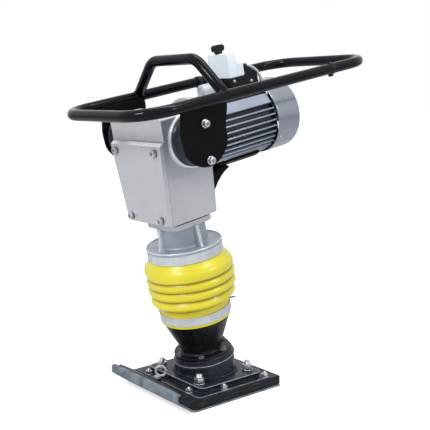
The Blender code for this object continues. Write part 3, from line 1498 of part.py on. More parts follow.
def build_boxes(upper, knob):
    half = BOX_HALF_WIDTH
    seat = MOTOR_AXIS_HEIGHT + MOTOR_FIN_RADIUS * 0.86
    terminal = add_object(
        "terminal_box",
        block((-half, TERMINAL_FRONT, seat), (half, TERMINAL_REAR, TERMINAL_LOW_TOP)),
        BLACK_PLASTIC,
        upper,
    )
    rear_half = block(
        (-half, SWITCH_REAR + GAP, TERMINAL_LOW_TOP - 0.01), (half, TERMINAL_REAR, TERMINAL_TOP)
    )
    join(terminal, rear_half)
    saddle = disc(
        outside(MOTOR_FIN_RADIUS + GAP, ROUND_STEPS),
        TERMINAL_FRONT - 0.01,
        MOTOR_FIN_END + 0.001,
        ROUND_STEPS,
        "u",
        (0, 0, MOTOR_AXIS_HEIGHT),
    )
    cut(terminal, saddle)
    rear_saddle = disc(
        outside(FAN_COVER_RADIUS + GAP, ROUND_STEPS),
        MOTOR_FIN_END,
        TERMINAL_REAR + 0.01,
        ROUND_STEPS,
        "u",
        (0, 0, MOTOR_AXIS_HEIGHT),
    )
    cut(terminal, rear_saddle)
    switch_low = TERMINAL_LOW_TOP + GAP
    outline = [
        (SWITCH_FRONT, switch_low),
        (SWITCH_REAR, switch_low),
        (SWITCH_REAR, SWITCH_STEP_TOP),
        (SWITCH_STEP, SWITCH_STEP_TOP),
        (SWITCH_STEP, SWITCH_TOP),
        (SWITCH_FRONT, SWITCH_TOP),
    ]
    switch = add_object(
        "switch_box", prism(outline, -half, half, "x"), WHITE_PLASTIC, upper
    )
    bevel_edges(switch, BOX_EDGE_RADIUS, 2, 40)
    build_knob(knob)


def build_knob(knob):
    """Lever knob on a short stem, standing on the switch box."""
    center = (0, KNOB_U, SWITCH_TOP)
    base = SWITCH_TOP + GAP
    stem_top = base + KNOB_BASE_HEIGHT + 0.003
    stem = disc(KNOB_BASE_RADIUS, base, stem_top, CIRCLE_STEPS, "a", (0, KNOB_U, 0))
    turn = add_object("switch_knob", stem, BLACK_PLASTIC, knob, center)
    low = base + KNOB_BASE_HEIGHT
    half = KNOB_LEVER_LENGTH / 2
    radius = KNOB_LEVER_HEIGHT * 0.45
    outline = []
    for u, a in rounded_rectangle(half, KNOB_LEVER_HEIGHT / 2, radius, 3):
        outline.append((KNOB_U + u, low + KNOB_LEVER_HEIGHT / 2 + a))
    lever = prism(outline, -KNOB_LEVER_WIDTH / 2, KNOB_LEVER_WIDTH / 2, "x")
    join(turn, lever, center)


def build_cable(upper):
    """Grey lead from the rear of the terminal box down to the top of the fan cover."""
    start_u = TERMINAL_REAR + GAP
    start_a = TERMINAL_TOP - CABLE_DROP
    end_a = MOTOR_AXIS_HEIGHT + FAN_COVER_RADIUS + GAP
    straight = CABLE_RADIUS * 1.2
    points = [(CABLE_X, start_u, start_a)]
    bend_u = start_u + straight
    bend_a = end_a + straight
    for step in range(9):
        angle = math.pi / 2 * step / 8
        u = bend_u + (CABLE_END_U - bend_u) * math.sin(angle)
        a = bend_a + (start_a - bend_a) * math.cos(angle)
        points.append((CABLE_X, u, a))
    points.append((CABLE_X, CABLE_END_U, end_a))
    curve_tube("motor_cable", points, CABLE_RADIUS, CABLE_GREY, upper, (0, 0, 0), resolution=2)


def hoop_path():
    corners = [
        (LOOP_HALF_WIDTH, HOOP_U, LOOP_HEIGHT),
        (HOOP_TOP_HALF_WIDTH, HOOP_U, HOOP_TOP),
        (-HOOP_TOP_HALF_WIDTH, HOOP_U, HOOP_TOP),
        (-LOOP_HALF_WIDTH, HOOP_U, LOOP_HEIGHT),
    ]
    return filleted_path(corners, HOOP_BEND_RADIUS, 6, False)


def build_handle(handle, pivot):
    corners = [
        (LOOP_HALF_WIDTH, LOOP_FRONT, LOOP_HEIGHT),
        (LOOP_HALF_WIDTH, LOOP_REAR, LOOP_HEIGHT),
        (-LOOP_HALF_WIDTH, LOOP_REAR, LOOP_HEIGHT),
        (-LOOP_HALF_WIDTH, LOOP_FRONT, LOOP_HEIGHT),
    ]
    path = filleted_path(corners, LOOP_CORNER_RADIUS, 7, True)
    curve_tube("handle_loop", path, TUBE_RADIUS, BLACK_PAINT, handle, pivot, cyclic=True)
    bar = swept(hoop_path(), TUBE_RADIUS, 10)
    hoop = add_object("lifting_hoop", bar, BLACK_PAINT, handle, pivot)
    for sign in (1, -1):
        rail = (sign * LOOP_HALF_WIDTH, 0, LOOP_HEIGHT)
        cut(hoop, disc(TUBE_RADIUS + GAP, -0.3, 0.3, CIRCLE_STEPS, "u", rail), pivot)


def build_bracket(handle, pivot, side, sign):
    """Bracket plate: round lower end on the buffer, flared top welded to the rail."""
    outline = []
    for step in range(19):
        angle = math.radians(180 + 180 * step / 18)
        u = BRACKET_U + BRACKET_ROUND_RADIUS * math.cos(angle)
        a = BUFFER_HEIGHT + BRACKET_ROUND_RADIUS * math.sin(angle)
        outline.append((u, a))
    rear = BRACKET_U + BRACKET_ROUND_RADIUS
    front = BRACKET_U - BRACKET_ROUND_RADIUS
    outline += [
        (rear, BRACKET_FLARE_LOW),
        (BRACKET_TOP_REAR, BRACKET_FLARE_HIGH),
        (BRACKET_TOP_REAR, LOOP_HEIGHT),
        (BRACKET_TOP_FRONT, LOOP_HEIGHT),
        (BRACKET_TOP_FRONT, BRACKET_FLARE_HIGH),
        (front, BRACKET_FLARE_LOW),
    ]
    low, high = sorted((sign * BRACKET_IN, sign * BRACKET_OUT))
    plate = add_object(
        f"bracket_{side}", prism(outline, low, high, "x"), BLACK_PAINT, handle, pivot
    )
    rail_clear = disc(
        TUBE_RADIUS + GAP, -0.3, 0.3, CIRCLE_STEPS, "u", (sign * LOOP_HALF_WIDTH, 0, LOOP_HEIGHT)
    )
    cut(plate, rail_clear, pivot)
    cut(plate, swept(hoop_path(), TUBE_RADIUS + GAP, 10), pivot)
    sizes = (
        BRACKET_WASHER_RADIUS,
        BRACKET_WASHER_THICKNESS,
        BRACKET_BOLT_FLATS,
        BRACKET_BOLT_HEIGHT,
        BRACKET_BOLT_FLATS * 0.22,
        BRACKET_BOLT_HEIGHT * 0.9,
    )
    matrix = NEAR if sign > 0 else FAR
    for level, rise in (("upper", BRACKET_BOLT_UPPER), ("lower", BRACKET_BOLT_LOWER)):
        seat = (sign * (BRACKET_OUT + GAP), BRACKET_U, BUFFER_HEIGHT + rise)
        name = f"bracket_bolt_{side}_{level}"
        place_fastener(name, sizes, BRIGHT_STEEL, handle, pivot, seat, matrix)


def build_rammer():
    clear_scene()
    foot = make_empty("foot", (0, 0, 0))
    axis = make_empty("machine_axis", (0, AXIS_FOOT_Y, 0), foot)
    axis.rotation_euler = (LEAN, 0, 0)
    upper = make_empty("jump_slide", (0, 0, 0), axis)
    motor_center = (0, 0, MOTOR_AXIS_HEIGHT)
    crank_center = (0, 0, CRANK_HEIGHT)
    pin_center = (0, 0, CRANK_PIN_HEIGHT)
    wrist_center = (0, 0, WRIST_HEIGHT)
    buffer_center = (0, BUFFER_U, BUFFER_HEIGHT)
    knob_center = (0, KNOB_U, SWITCH_TOP)
    rotor = make_empty("rotor_axis", motor_center, upper)
    crank = make_empty("crank_axis", crank_center, upper)
    rod = make_empty("crank_pin_axis", pin_center, upper)
    piston = make_empty("piston_slide", wrist_center, upper)
    handle = make_empty("handle_pivot", buffer_center, upper)
    knob = make_empty("knob_axis", knob_center, upper)

    build_shoe(foot)
    build_foot_flange(foot, axis)
    build_shoe_fasteners(foot)
    build_eye_bolt(foot)
    build_housing(axis)
    build_spring_cylinder(axis)
    build_bellows(axis)
    collar = HOUSING_RIM_RADIUS + GAP + BELLOWS_WALL
    build_band("lower_clamp_band", axis, collar, LOWER_BAND_BOTTOM, LOWER_BAND_WIDTH, 18)
    top_collar = GUIDE_SKIRT_RADIUS + GAP + BELLOWS_WALL
    build_band("upper_clamp_band", upper, top_collar, UPPER_BAND_BOTTOM, UPPER_BAND_WIDTH, -12)
    build_guide(upper)
    build_casing(upper)
    build_cover(upper)
    build_buffers(upper)
    build_motor(upper)
    build_rotor(rotor, motor_center)
    build_crank(crank, crank_center)
    build_crank_bearing(upper, crank_center)
    build_rod(rod, pin_center)
    build_piston_rod(piston, wrist_center)
    build_support(upper)
    build_boxes(upper, knob)
    build_cable(upper)
    build_handle(handle, buffer_center)
    build_bracket(handle, buffer_center, "near", 1)
    build_bracket(handle, buffer_center, "far", -1)


build_rammer()
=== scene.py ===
"""Looks of the electric tamping rammer: smooth visible pieces, finishes, studio and camera.

Metres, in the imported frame: +Z up, the rammer travels towards -Y and the operator stands at +Y.
Parts above the shoe lean with the machine axis and are drawn in the machine frame (x, u, a): x is
lateral, u points back along the motor shaft and a runs up the machine axis from the ground.
Local shapes are drawn as (p, q, h), with h along the axis they are turned about or carried along.
A profile is a row of corners, each with the radius of its own rounding as the last number.
"""

import logging
import math
from collections.abc import Callable, Sequence
from dataclasses import dataclass
from enum import Enum
from functools import reduce
from operator import add

import bmesh
import bpy
import numpy as np
from mathutils import Matrix


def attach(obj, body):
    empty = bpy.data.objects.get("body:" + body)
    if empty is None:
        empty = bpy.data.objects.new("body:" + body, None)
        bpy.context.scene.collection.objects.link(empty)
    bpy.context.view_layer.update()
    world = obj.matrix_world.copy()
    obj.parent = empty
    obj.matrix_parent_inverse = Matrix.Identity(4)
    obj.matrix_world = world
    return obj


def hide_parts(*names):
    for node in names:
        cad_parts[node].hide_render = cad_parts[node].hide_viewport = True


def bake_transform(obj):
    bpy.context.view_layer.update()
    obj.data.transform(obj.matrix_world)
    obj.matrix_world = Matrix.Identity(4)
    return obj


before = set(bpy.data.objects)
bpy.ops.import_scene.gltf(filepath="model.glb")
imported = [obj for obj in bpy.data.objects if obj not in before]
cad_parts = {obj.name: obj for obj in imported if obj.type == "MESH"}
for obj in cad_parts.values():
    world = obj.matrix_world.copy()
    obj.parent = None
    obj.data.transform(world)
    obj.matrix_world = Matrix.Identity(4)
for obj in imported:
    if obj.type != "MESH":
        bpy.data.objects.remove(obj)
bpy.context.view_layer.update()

LOG = logging.getLogger("rammer")
LEAN = math.radians(10.94)  # of the machine axis, back from the upright
AXIS_FOOT_Y = 0.012  # where the machine axis meets the ground
GAP = 0.0003  # left between pieces that would touch
ROUND = 128  # columns round a turned piece
SMOOTH_DEG = 35.0  # edges sharper than this stay sharp
WELD = 2e-6  # points nearer than this are one
MOTOR_AXIS = 0.678  # height of the motor shaft on the machine axis
COWL_RADIUS = 0.098  # of the fan cover
SIDE_MOUNT = (0, -0.003, 0.692)  # where the casing's side bosses and the buffers stand
HEX_TURN = 60  # degrees after which a hexagon looks the same
SIDES = (("near", 1), ("far", -1))
ACROSS, BACK, UP = (1, 0, 0), (0, 1, 0), (0, 0, 1)

Floats = float | np.ndarray
Corners = np.ndarray | Sequence[Sequence[float]]
Value = float | tuple | bpy.types.NodeSocket


class Axis(Enum):
    """How a local shape's (p, q, h) columns are ordered in (x, u, a) or (x, y, z)."""

    A = (0, 1, 2)
    U = (0, 2, 1)
    X = (2, 0, 1)


class Body(Enum):
    """The moving bodies that carry new pieces."""

    FOOT = "foot"
    UPPER = "upper"
    HANDLE = "handle"
    KNOB = "knob"


@dataclass
class Skin:
    """A mesh under construction: (n, 3) points, the point numbers of each face, and painted crease
    shade.

    The crease shade says how deep in a groove each point lies, from 0 to 1, on a piece that has
    grooves, and so how much painted shade it gets.
    """

    points: np.ndarray
    faces: list[list[int]]
    cavity: np.ndarray | None = None

    def __add__(self, other: "Skin") -> "Skin":
        """Puts two skins in one mesh.

        Args:
            other: the skin whose points follow this one's.

        Returns:
            The joined skin, with its painted crease shade where both have one.
        """
        shift = len(self.points)
        faces = self.faces + [[i + shift for i in face] for face in other.faces]
        cavity = None
        if self.cavity is not None and other.cavity is not None:
            cavity = np.concatenate([self.cavity, other.cavity])
        return Skin(np.vstack([self.points, other.points]), faces, cavity)

    def moved(self, points: np.ndarray) -> "Skin":
        """The same skin with its points at new places."""
        return Skin(points, self.faces, self.cavity)

    def laid(self, axis: Axis, center: tuple[float, float, float] = (0, 0, 0)) -> "Skin":
        """Turns local (p, q, h) points to the axis and moves them to center."""
        return self.moved(self.points[:, list(axis.value)] + np.asarray(center, float))

    def spun(self, degrees: float) -> "Skin":
        """Turns local points about h by an angle."""
        c, s = math.cos(math.radians(degrees)), math.sin(math.radians(degrees))
        return self.moved(self.points @ np.array([[c, s, 0], [-s, c, 0], [0, 0, 1.0]]))

    def flipped(self, sign: int) -> "Skin":
        """Mirrors local points along h where sign is -1."""
        return self.moved(self.points * [1, 1, sign])

    def leaned(self) -> "Skin":
        """Takes machine points to the world."""
        return self.moved(leaned(self.points))

    def placed(self, axis: Axis, center: tuple[float, float, float] = (0, 0, 0)) -> "Skin":
        """Lays local points in the machine frame and takes them to the world."""
        return self.laid(axis, center).leaned()


def leaned(points: np.ndarray) -> np.ndarray:
    """World points of machine points: y = foot + u cos(lean) - a sin(lean), z = u sin + a cos.

    Args:
        points: array whose last axis is (x, u, a).

    Returns:
        The same array as (x, y, z).
    """
    points = np.asarray(points, float)
    c, s = math.cos(LEAN), math.sin(LEAN)
    x, u, a = points[..., 0], points[..., 1], points[..., 2]
    return np.stack([x, AXIS_FOOT_Y + u * c - a * s, u * s + a * c], -1)


def joined(skins: list[Skin]) -> Skin:
    """Several skins as one mesh."""
    return reduce(add, skins)


def full_turn(count: int) -> np.ndarray:
    """Angles spread evenly over one turn."""
    return np.arange(count) * 2 * math.pi / count


def polar(radius: Floats, angle: Floats, height: Floats = 0.0) -> np.ndarray:
    """The points (r cos t, r sin t, h) of numbers or arrays that broadcast together."""
    places = radius * np.cos(angle), radius * np.sin(angle), height
    return np.stack(np.broadcast_arrays(*places), -1)


def stacked(lines: Sequence[tuple[np.ndarray, float]]) -> np.ndarray:
    """Flat (p, q) lines, each at its own h, as the rows of one grid of points."""
    return np.stack([np.column_stack([line, np.full(len(line), h)]) for line, h in lines])


def grid(points: np.ndarray, ring: bool = False, caps: bool = False) -> Skin:
    """Quads between neighbouring rows and columns; the columns always close on themselves.

    Args:
        points: (rows, columns, 3) array.
        ring: joins the last row to the first.
        caps: closes the first and the last row with one flat face each.

    Returns:
        The skin.
    """
    rows, columns = points.shape[:2]
    i = np.arange(rows if ring else rows - 1)[:, None]
    j = np.arange(columns)[None, :]
    after, below = (j + 1) % columns, (i + 1) % rows
    corners = [i * columns + j, i * columns + after, below * columns + after, below * columns + j]
    faces = np.stack(corners, -1).reshape(-1, 4).tolist()
    if caps:
        faces += [list(range(columns)), list(range((rows - 1) * columns, rows * columns))]
    return Skin(points.reshape(-1, 3), faces)


def filleted(
    corners: Corners, radii: float | Sequence[float], steps: int = 6, closed: bool = True
) -> np.ndarray:
    """Rounds a path: each corner becomes an arc tangent to both of its sides.

    Args:
        corners: the corner points, in two or three dimensions.
        radii: one arc radius for all corners, or one each; 0 keeps the corner.
        steps: straight pieces in each arc.
        closed: whether the path closes on itself.

    Returns:
        The points of the rounded path.
    """
    corners = np.asarray(corners, float)
    count = len(corners)
    share = np.linspace(0, 1, steps + 1)[:, None]
    out = []
    for index, (here, radius) in enumerate(zip(corners, np.broadcast_to(radii, (count,)))):
        back, ahead = corners[index - 1] - here, corners[(index + 1) % count] - here
        reach_back, reach_ahead = np.linalg.norm(back), np.linalg.norm(ahead)
        if radius <= 0 or (not closed and index in (0, count - 1)):
            out.append(here[None])
            continue
        back, ahead = back / reach_back, ahead / reach_ahead
        half = math.acos(float(np.clip(back @ ahead, -1, 1))) / 2
        if half > math.pi / 2 - 0.01:
            out.append(here[None])
            continue
        reach = min(radius / math.tan(half), 0.49 * min(reach_back, reach_ahead))
        middle = (back + ahead) / np.linalg.norm(back + ahead)
        center = here + middle * reach / math.cos(half)
        start, end = here + back * reach - center, here + ahead * reach - center
        sweep = math.pi - 2 * half
        arc = start * np.sin((1 - share) * sweep) + end * np.sin(share * sweep)
        out.append(center + arc / math.sin(sweep))
    return np.vstack(out)


def eased(profile: Corners, steps: int = 6, closed: bool = True) -> np.ndarray:
    """The rounded path of a profile, whose corners each end with their own arc radius."""
    profile = np.asarray(profile, float)
    return filleted(profile[:, :-1], profile[:, -1], steps, closed)


def turned(line: Corners, ring: bool = True, steps: int = ROUND) -> Skin:
    """Carries a (radius, height) line round h; without ring it runs from axis to axis."""
    line = np.asarray(line, float)
    return grid(polar(line[:, :1], full_turn(steps), line[:, 1:]), ring)


def disc(radius: float, low: float, high: float, edge: float, steps: int = ROUND) -> Skin:
    """A solid round bar from low to high whose rims are rounded by edge."""
    profile = [(0, low, 0), (radius, low, edge), (radius, high, edge), (0, high, 0)]
    return turned(eased(profile, 3, closed=False), ring=False, steps=steps)


def prism(outline: Corners, low: float, high: float) -> Skin:
    """Carries a closed (p, q) outline along h from low to high, with a flat face at each end."""
    outline = np.asarray(outline, float)
    return grid(stacked([(outline, low), (outline, high)]), caps=True)


def holed(outer: np.ndarray, inner: np.ndarray, low: float, high: float) -> Skin:
    """A flat plate from low to high between two outlines that have equally many points."""
    rows = [(inner, low), (outer, low), (outer, high), (inner, high)]
    return grid(stacked(rows), ring=True)


def rounded_rectangle(half_p: float, half_q: float, radius: float) -> np.ndarray:
    """The outline of a rectangle round the origin with rounded corners."""
    p, q = half_p, half_q
    return filleted([(-p, -q), (p, -q), (p, q), (-p, q)], radius, steps=8)


def carried(
    path: np.ndarray,
    radius: Floats,
    normal: tuple[float, float, float],
    closed: bool = False,
    sides: int = 32,
) -> Skin:
    """Carries a circle along a path: path + r (n cos t + b sin t), n and b square to the path.

    Args:
        path: (n, 3) points of the centre line.
        radius: the circle's radius, or one for each point.
        normal: a direction that is never along the path; n is the nearest one square to it.
        closed: whether the path closes on itself.
        sides: points round the circle.

    Returns:
        The skin, with flat ends on an open path.
    """
    along = np.roll(path, -1, 0) - np.roll(path, 1, 0) if closed else np.gradient(path, axis=0)
    along = along / np.linalg.norm(along, axis=1, keepdims=True)
    b = np.cross(along, np.asarray(normal, float))
    b = b / np.linalg.norm(b, axis=1, keepdims=True)
    n = np.cross(b, along)
    t = full_turn(sides)[:, None]
    reach = np.broadcast_to(radius, (len(path),))[:, None, None]
    circle = n[:, None] * np.cos(t) + b[:, None] * np.sin(t)
    return grid(path[:, None] + reach * circle, ring=closed, caps=not closed)


def rippled(at: np.ndarray, radius: float, rise: float, beads: float) -> np.ndarray:
    """The radius of a weld bead along it: radius + rise |sin(beads at)|."""
    return radius + rise * np.abs(np.sin(at * beads))


def smooth_through(knots: Corners, count: int) -> tuple[np.ndarray, np.ndarray]:
    """A smooth line through knots: cubics whose slope at a knot is that of its two neighbours.

    Args:
        knots: (n, 2) points.
        count: how many points the line gets, evenly spread over the straight distances.

    Returns:
        The line's points, and how far along it each one is.
    """
    knots = np.asarray(knots, float)
    span = np.concatenate([[0], np.cumsum(np.linalg.norm(np.diff(knots, axis=0), axis=1))])
    at = np.linspace(0, span[-1], count)
    slope = np.gradient(knots, span, axis=0)
    index = np.clip(np.searchsorted(span, at, "right") - 1, 0, len(knots) - 2)
    width = (span[index + 1] - span[index])[:, None]
    s = (at - span[index])[:, None] / width
    line = (
        (2 * s**3 - 3 * s**2 + 1) * knots[index]
        + (s**3 - 2 * s**2 + s) * width * slope[index]
        + (3 * s**2 - 2 * s**3) * knots[index + 1]
        + (s**3 - s**2) * width * slope[index + 1]
    )
    return line, at


def hexagon(flats: float, height: float, steps: int = 10) -> Skin:
    """A chamfered hexagon nut standing on h = 0.

    The radius at angle t and height h is the smaller of the hexagon's, flats / (2 cos t) within
    each side, and that of a 30 degree cone rising from each face's rim.

    Args:
        flats: width across flats.
        height: height of the nut.
        steps: columns on each side.

    Returns:
        The skin, drawn in (p, q, h).
    """
    t = np.arange(6 * steps) * math.pi / 3 / steps
    side = flats / 2 / np.cos(t % (math.pi / 3) - math.pi / 6)
    ease = np.array([0, 0.04, 0.08, 0.14, 0.22])
    share = np.concatenate([ease, 1 - ease[::-1]])[:, None]
    inset = np.minimum(share, 1 - share) * height
    rim_radius = flats * 0.475
    r = np.minimum(side[None], rim_radius + inset * math.sqrt(3))
    low, high = np.zeros((1, len(t), 3)), np.zeros((1, len(t), 3))
    high[..., 2] = height
    return grid(np.concatenate([low, polar(r, t, share * height), high]))


def threaded(radius: float, low: float, high: float, pitch: float, sides: int = 24) -> Skin:
    """A threaded rod end.

    The radius is the full one less a triangle wave of height / pitch - angle / turn, so that the
    groove climbs one pitch a turn, and it shrinks over the last pitch to a chamfered tip.

    Args:
        radius: outside radius.
        low: height of the hidden end.
        high: height of the tip.
        pitch: rise of the thread in one turn.
        sides: columns round the rod.

    Returns:
        The skin, drawn in (p, q, h).
    """
    rows_a_turn, depth, tip_share = 6, 0.45 * pitch, 0.78
    h = np.linspace(low, high, max(int((high - low) / pitch * rows_a_turn), rows_a_turn))[:, None]
    t = full_turn(sides)[None]
    wave = np.abs(((h / pitch - t / (2 * math.pi)) % 1) * 2 - 1)
    tip = np.clip((high - h) / pitch, 0, 1)
    r = np.minimum(radius - depth * wave, radius * (tip_share + (1 - tip_share) * tip))
    return grid(polar(r, t, h), caps=True)


@dataclass(frozen=True)
class Fastener:
    """Washer, hexagon and rod end, standing on h = 0."""

    WASHER_EDGE = 0.35  # rounding, as a share of the washer's thickness
    NUT_REACH = 0.62  # farthest the nut goes out, as a share of its width across flats
    SHADE_BELOW = 0.45  # height of the painted shade at the nut's foot, as a share of the nut's
    SHADE_BELOW_AMOUNT = 0.9  # how dark that painted shade is
    SHADE_ABOVE = 0.0015  # height of the painted shade at the rod's foot
    SHADE_ROUND_ROD = 0.36  # its reach, as a share of the width across flats

    washer_radius: float
    washer_thickness: float
    flats: float
    nut_height: float
    rod_radius: float
    rod_rise: float
    pitch: float = 0.0016

    def skin(self, turn: float) -> Skin:
        """The fastener in (p, q, h), with painted shade in the corners below the nut and round the
        rod's foot.

        Args:
            turn: how far it is turned about h, in degrees.

        Returns:
            The skin with its painted crease shade.
        """
        edge, seat = self.washer_thickness * self.WASHER_EDGE, self.washer_thickness
        washer = disc(self.washer_radius, 0, seat, edge, 48)
        nut = hexagon(self.flats, self.nut_height).laid(Axis.A, (0, 0, seat))
        rod = threaded(self.rod_radius, seat, self.rod_rise, self.pitch)
        skin = (washer + nut + rod).spun(turn)
        height = skin.points[:, 2] - seat
        reach = np.hypot(skin.points[:, 0], skin.points[:, 1])
        below = 1 - np.clip(np.abs(height) / (self.nut_height * self.SHADE_BELOW), 0, 1)
        above = 1 - np.clip(np.abs(height - self.nut_height) / self.SHADE_ABOVE, 0, 1)
        foot = above * (reach < self.flats * self.SHADE_ROUND_ROD)
        dark = np.maximum(below * self.SHADE_BELOW_AMOUNT, foot)
        skin.cavity = np.where(reach > self.flats * self.NUT_REACH, 0.0, dark)
        return skin


class Tree:
    """A short way to fill a shader node tree."""

    SMOOTH = {"interpolation_type": "SMOOTHSTEP"}

    def __init__(self, tree: bpy.types.NodeTree) -> None:
        """Keeps the tree to fill."""
        self.tree = tree

    def add(
        self, kind: str, settings: dict | None = None, inputs: dict | None = None
    ) -> bpy.types.Node:
        """Adds a node.

        Args:
            kind: the node's type name.
            settings: properties to set on it.
            inputs: values or sockets by input name or number.

        Returns:
            The node.
        """
        node = self.tree.nodes.new(kind)
        for key, value in (settings or {}).items():
            setattr(node, key, value)
        self.fill(node, inputs or {})
        return node

    def fill(self, node: bpy.types.Node, inputs: dict) -> None:
        """Sets a node's inputs, or links those that are sockets.

        Args:
            node: the node to fill.
            inputs: values or sockets by input name or number.
        """
        for key, value in inputs.items():
            if isinstance(value, bpy.types.NodeSocket):
                self.tree.links.new(value, node.inputs[key])
            else:
                node.inputs[key].default_value = value

    def math(self, operation: str, first: Value, second: Value = 0.0) -> bpy.types.NodeSocket:
        """The clamped result of one arithmetic step."""
        settings = {"operation": operation, "use_clamp": True}
        return self.add("ShaderNodeMath", settings, {0: first, 1: second}).outputs[0]

    def spread(self, value: Value, low: Value, high: Value) -> bpy.types.NodeSocket:
        """A smooth step from 0 at low to 1 at high."""
        inputs = {"Value": value, "From Min": low, "From Max": high}
        return self.add("ShaderNodeMapRange", self.SMOOTH, inputs).outputs["Result"]

    def mix(self, mask: Value, first: Value, second: Value) -> bpy.types.NodeSocket:
        """Mixes two colours by a mask."""
        inputs = {0: mask, 6: first, 7: second}
        return self.add("ShaderNodeMix", {"data_type": "RGBA"}, inputs).outputs[2]

    def noise(self, vector: Value, scale: Value, detail: float = 3.0) -> bpy.types.NodeSocket:
        """Noise at a place."""
        inputs = {"Vector": vector, "Scale": scale, "Detail": detail}
        return self.add("ShaderNodeTexNoise", None, inputs).outputs[0]

    def place(self) -> bpy.types.NodeSocket:
        """Object coordinates."""
        return self.add("ShaderNodeTexCoord").outputs["Object"]

    def normal(self) -> bpy.types.NodeSocket:
        """The surface's own normal."""
        return self.add("ShaderNodeNewGeometry").outputs["Normal"]

    def part(self, vector: Value, axis: str) -> bpy.types.NodeSocket:
        """One of the X, Y and Z parts of a vector."""
        return self.add("ShaderNodeSeparateXYZ", None, {0: vector}).outputs[axis]


class Effect(Enum):
    """The shared node groups, named after what each puts out."""

    MOTTLE = "Mottle"
    GRAIN = "Grain"
    WEAR = "Edge wear"
    DUST = "Ground dust"
    SCRATCH = "Scratches"
    CAVITY = "Cavity"
    SHADE = "Side shade"


@dataclass(frozen=True)
class Finish:
    """What a surface is made of, in linear colours; the effects' amounts are 0 where unused."""

    name: str
    slot: str
    color: tuple[float, float, float]
    roughness: float
    metallic: float = 0.0
    coat: float = 0.0
    mottle: float = 0.10
    mottle_scale: float = 14.0
    grain: float = 0.05
    grain_scale: float = 700.0
    wear: float = 0.0
    wear_color: tuple[float, float, float] = (0.45, 0.47, 0.50)
    dust: float = 0.0
    dust_top: float = 0.06
    scratch: float = 0.0
    specular: float = 0.5
    # shade and shade_color: painted shade on the upper part of upright side faces
    shade: float = 0.0
    shade_color: tuple[float, float, float] = (0.13, 0.16, 0.22)
    # painted shade in grooves and corners: its amount and colour
    cavity: float = 0.0
    crease_shade_color: tuple[float, float, float] = (0.02, 0.02, 0.02)


GLOSS_BLACK = Finish(
    "Gloss black paint", "black_paint", (0.0025, 0.0032, 0.0056), 0.15, mottle=0.0,
    grain=0.0, specular=0.15,
)
PLATE_BLACK = Finish(
    "Satin black paint", "black_paint", (0.0045, 0.0045, 0.0050), 0.40, mottle=0.3,
    grain=0.08, grain_scale=260.0, wear=0.10, wear_color=(0.05, 0.055, 0.065), specular=0.06,
)
CONE_BLACK = Finish(
    "Cone black paint", "black_paint", (0.006, 0.007, 0.009), 0.28, mottle=0.5,
    mottle_scale=30.0, grain=0.2, grain_scale=180.0, wear=0.3, wear_color=(0.10, 0.12, 0.15),
    scratch=0.10, specular=0.20,
)
FOOT_BLACK = Finish(
    "Worn black paint", "black_paint", (0.012, 0.017, 0.026), 0.28, mottle=0.5,
    mottle_scale=30.0, grain=0.25, grain_scale=180.0, wear=0.95,
    wear_color=(0.36, 0.43, 0.50), dust=0.03, dust_top=0.10, scratch=0.22, specular=0.18,
)
SLAB_BLACK = Finish(
    "Slab black", "slab_black", (0.008, 0.0105, 0.0145), 0.36, mottle=0.5, mottle_scale=22.0,
    grain=0.3, grain_scale=220.0, wear=0.75, wear_color=(0.24, 0.29, 0.34), dust=0.03,
    dust_top=0.07, scratch=0.25, specular=0.15,
)
TOE_STEEL = Finish(
    "Worn shoe steel", "toe_steel", (0.19, 0.235, 0.275), 0.38, metallic=0.3, mottle=0.5,
    mottle_scale=34.0, grain=0.3, grain_scale=300.0, wear=0.8, wear_color=(0.46, 0.54, 0.60),
    scratch=0.6,
)
# Casing silver; its shade is painted shade on the upper side faces, under the handle frame
SILVER = Finish(
    "Silver casting paint", "silver_paint", (0.49, 0.50, 0.52), 0.36, metallic=0.25,
    coat=0.15, mottle=0.07, mottle_scale=9.0, grain=0.10, grain_scale=420.0, wear=0.5,
    wear_color=(0.80, 0.83, 0.87), shade=0.75,
)
# A lighter copy of the silver paint: painted highlight on the side bosses' rims and the cover's top
# strip
SILVER_HIGHLIGHT = Finish(
    "Silver paint, painted highlight", "silver_paint", (0.84, 0.86, 0.88), 0.25, metallic=0.4,
    mottle=0.04, grain=0.04,
)
GUIDE_SILVER = Finish(
    "Guide casting paint", "silver_paint", (0.33, 0.375, 0.43), 0.36, metallic=0.3,
    coat=0.15, mottle=0.16, mottle_scale=16.0, grain=0.15, grain_scale=420.0, wear=0.8,
    wear_color=(0.80, 0.85, 0.90),
)
# A lighter copy of the guide's paint: painted highlight on its ribs and rim bead
CASTING_HIGHLIGHT = Finish(
    "Guide paint, painted highlight", "silver_paint", (0.58, 0.63, 0.68), 0.32, metallic=0.3, coat=0.2,
    mottle=0.14, grain=0.05, wear=0.5, wear_color=(0.92, 0.95, 0.98),
)
# Motor silver; its crease shade is painted shade between the fins
MOTOR_SILVER = Finish(
    "Motor silver paint", "motor_silver", (0.33, 0.37, 0.46), 0.30, metallic=0.4, coat=0.2,
    mottle=0.12, grain=0.10, grain_scale=500.0, wear=0.5, wear_color=(0.80, 0.85, 0.93),
    cavity=1.0, crease_shade_color=(0.008, 0.010, 0.016),
)
# Bright zinc; its crease shade is painted shade under the nuts and round the rods' feet
ZINC = Finish(
    "Bright zinc", "zinc_steel", (0.60, 0.62, 0.65), 0.28, metallic=0.9, mottle=0.25,
    mottle_scale=90.0, grain=0.06, wear=0.5, wear_color=(0.92, 0.93, 0.95), cavity=1.0,
    crease_shade_color=(0.02, 0.022, 0.026),
)
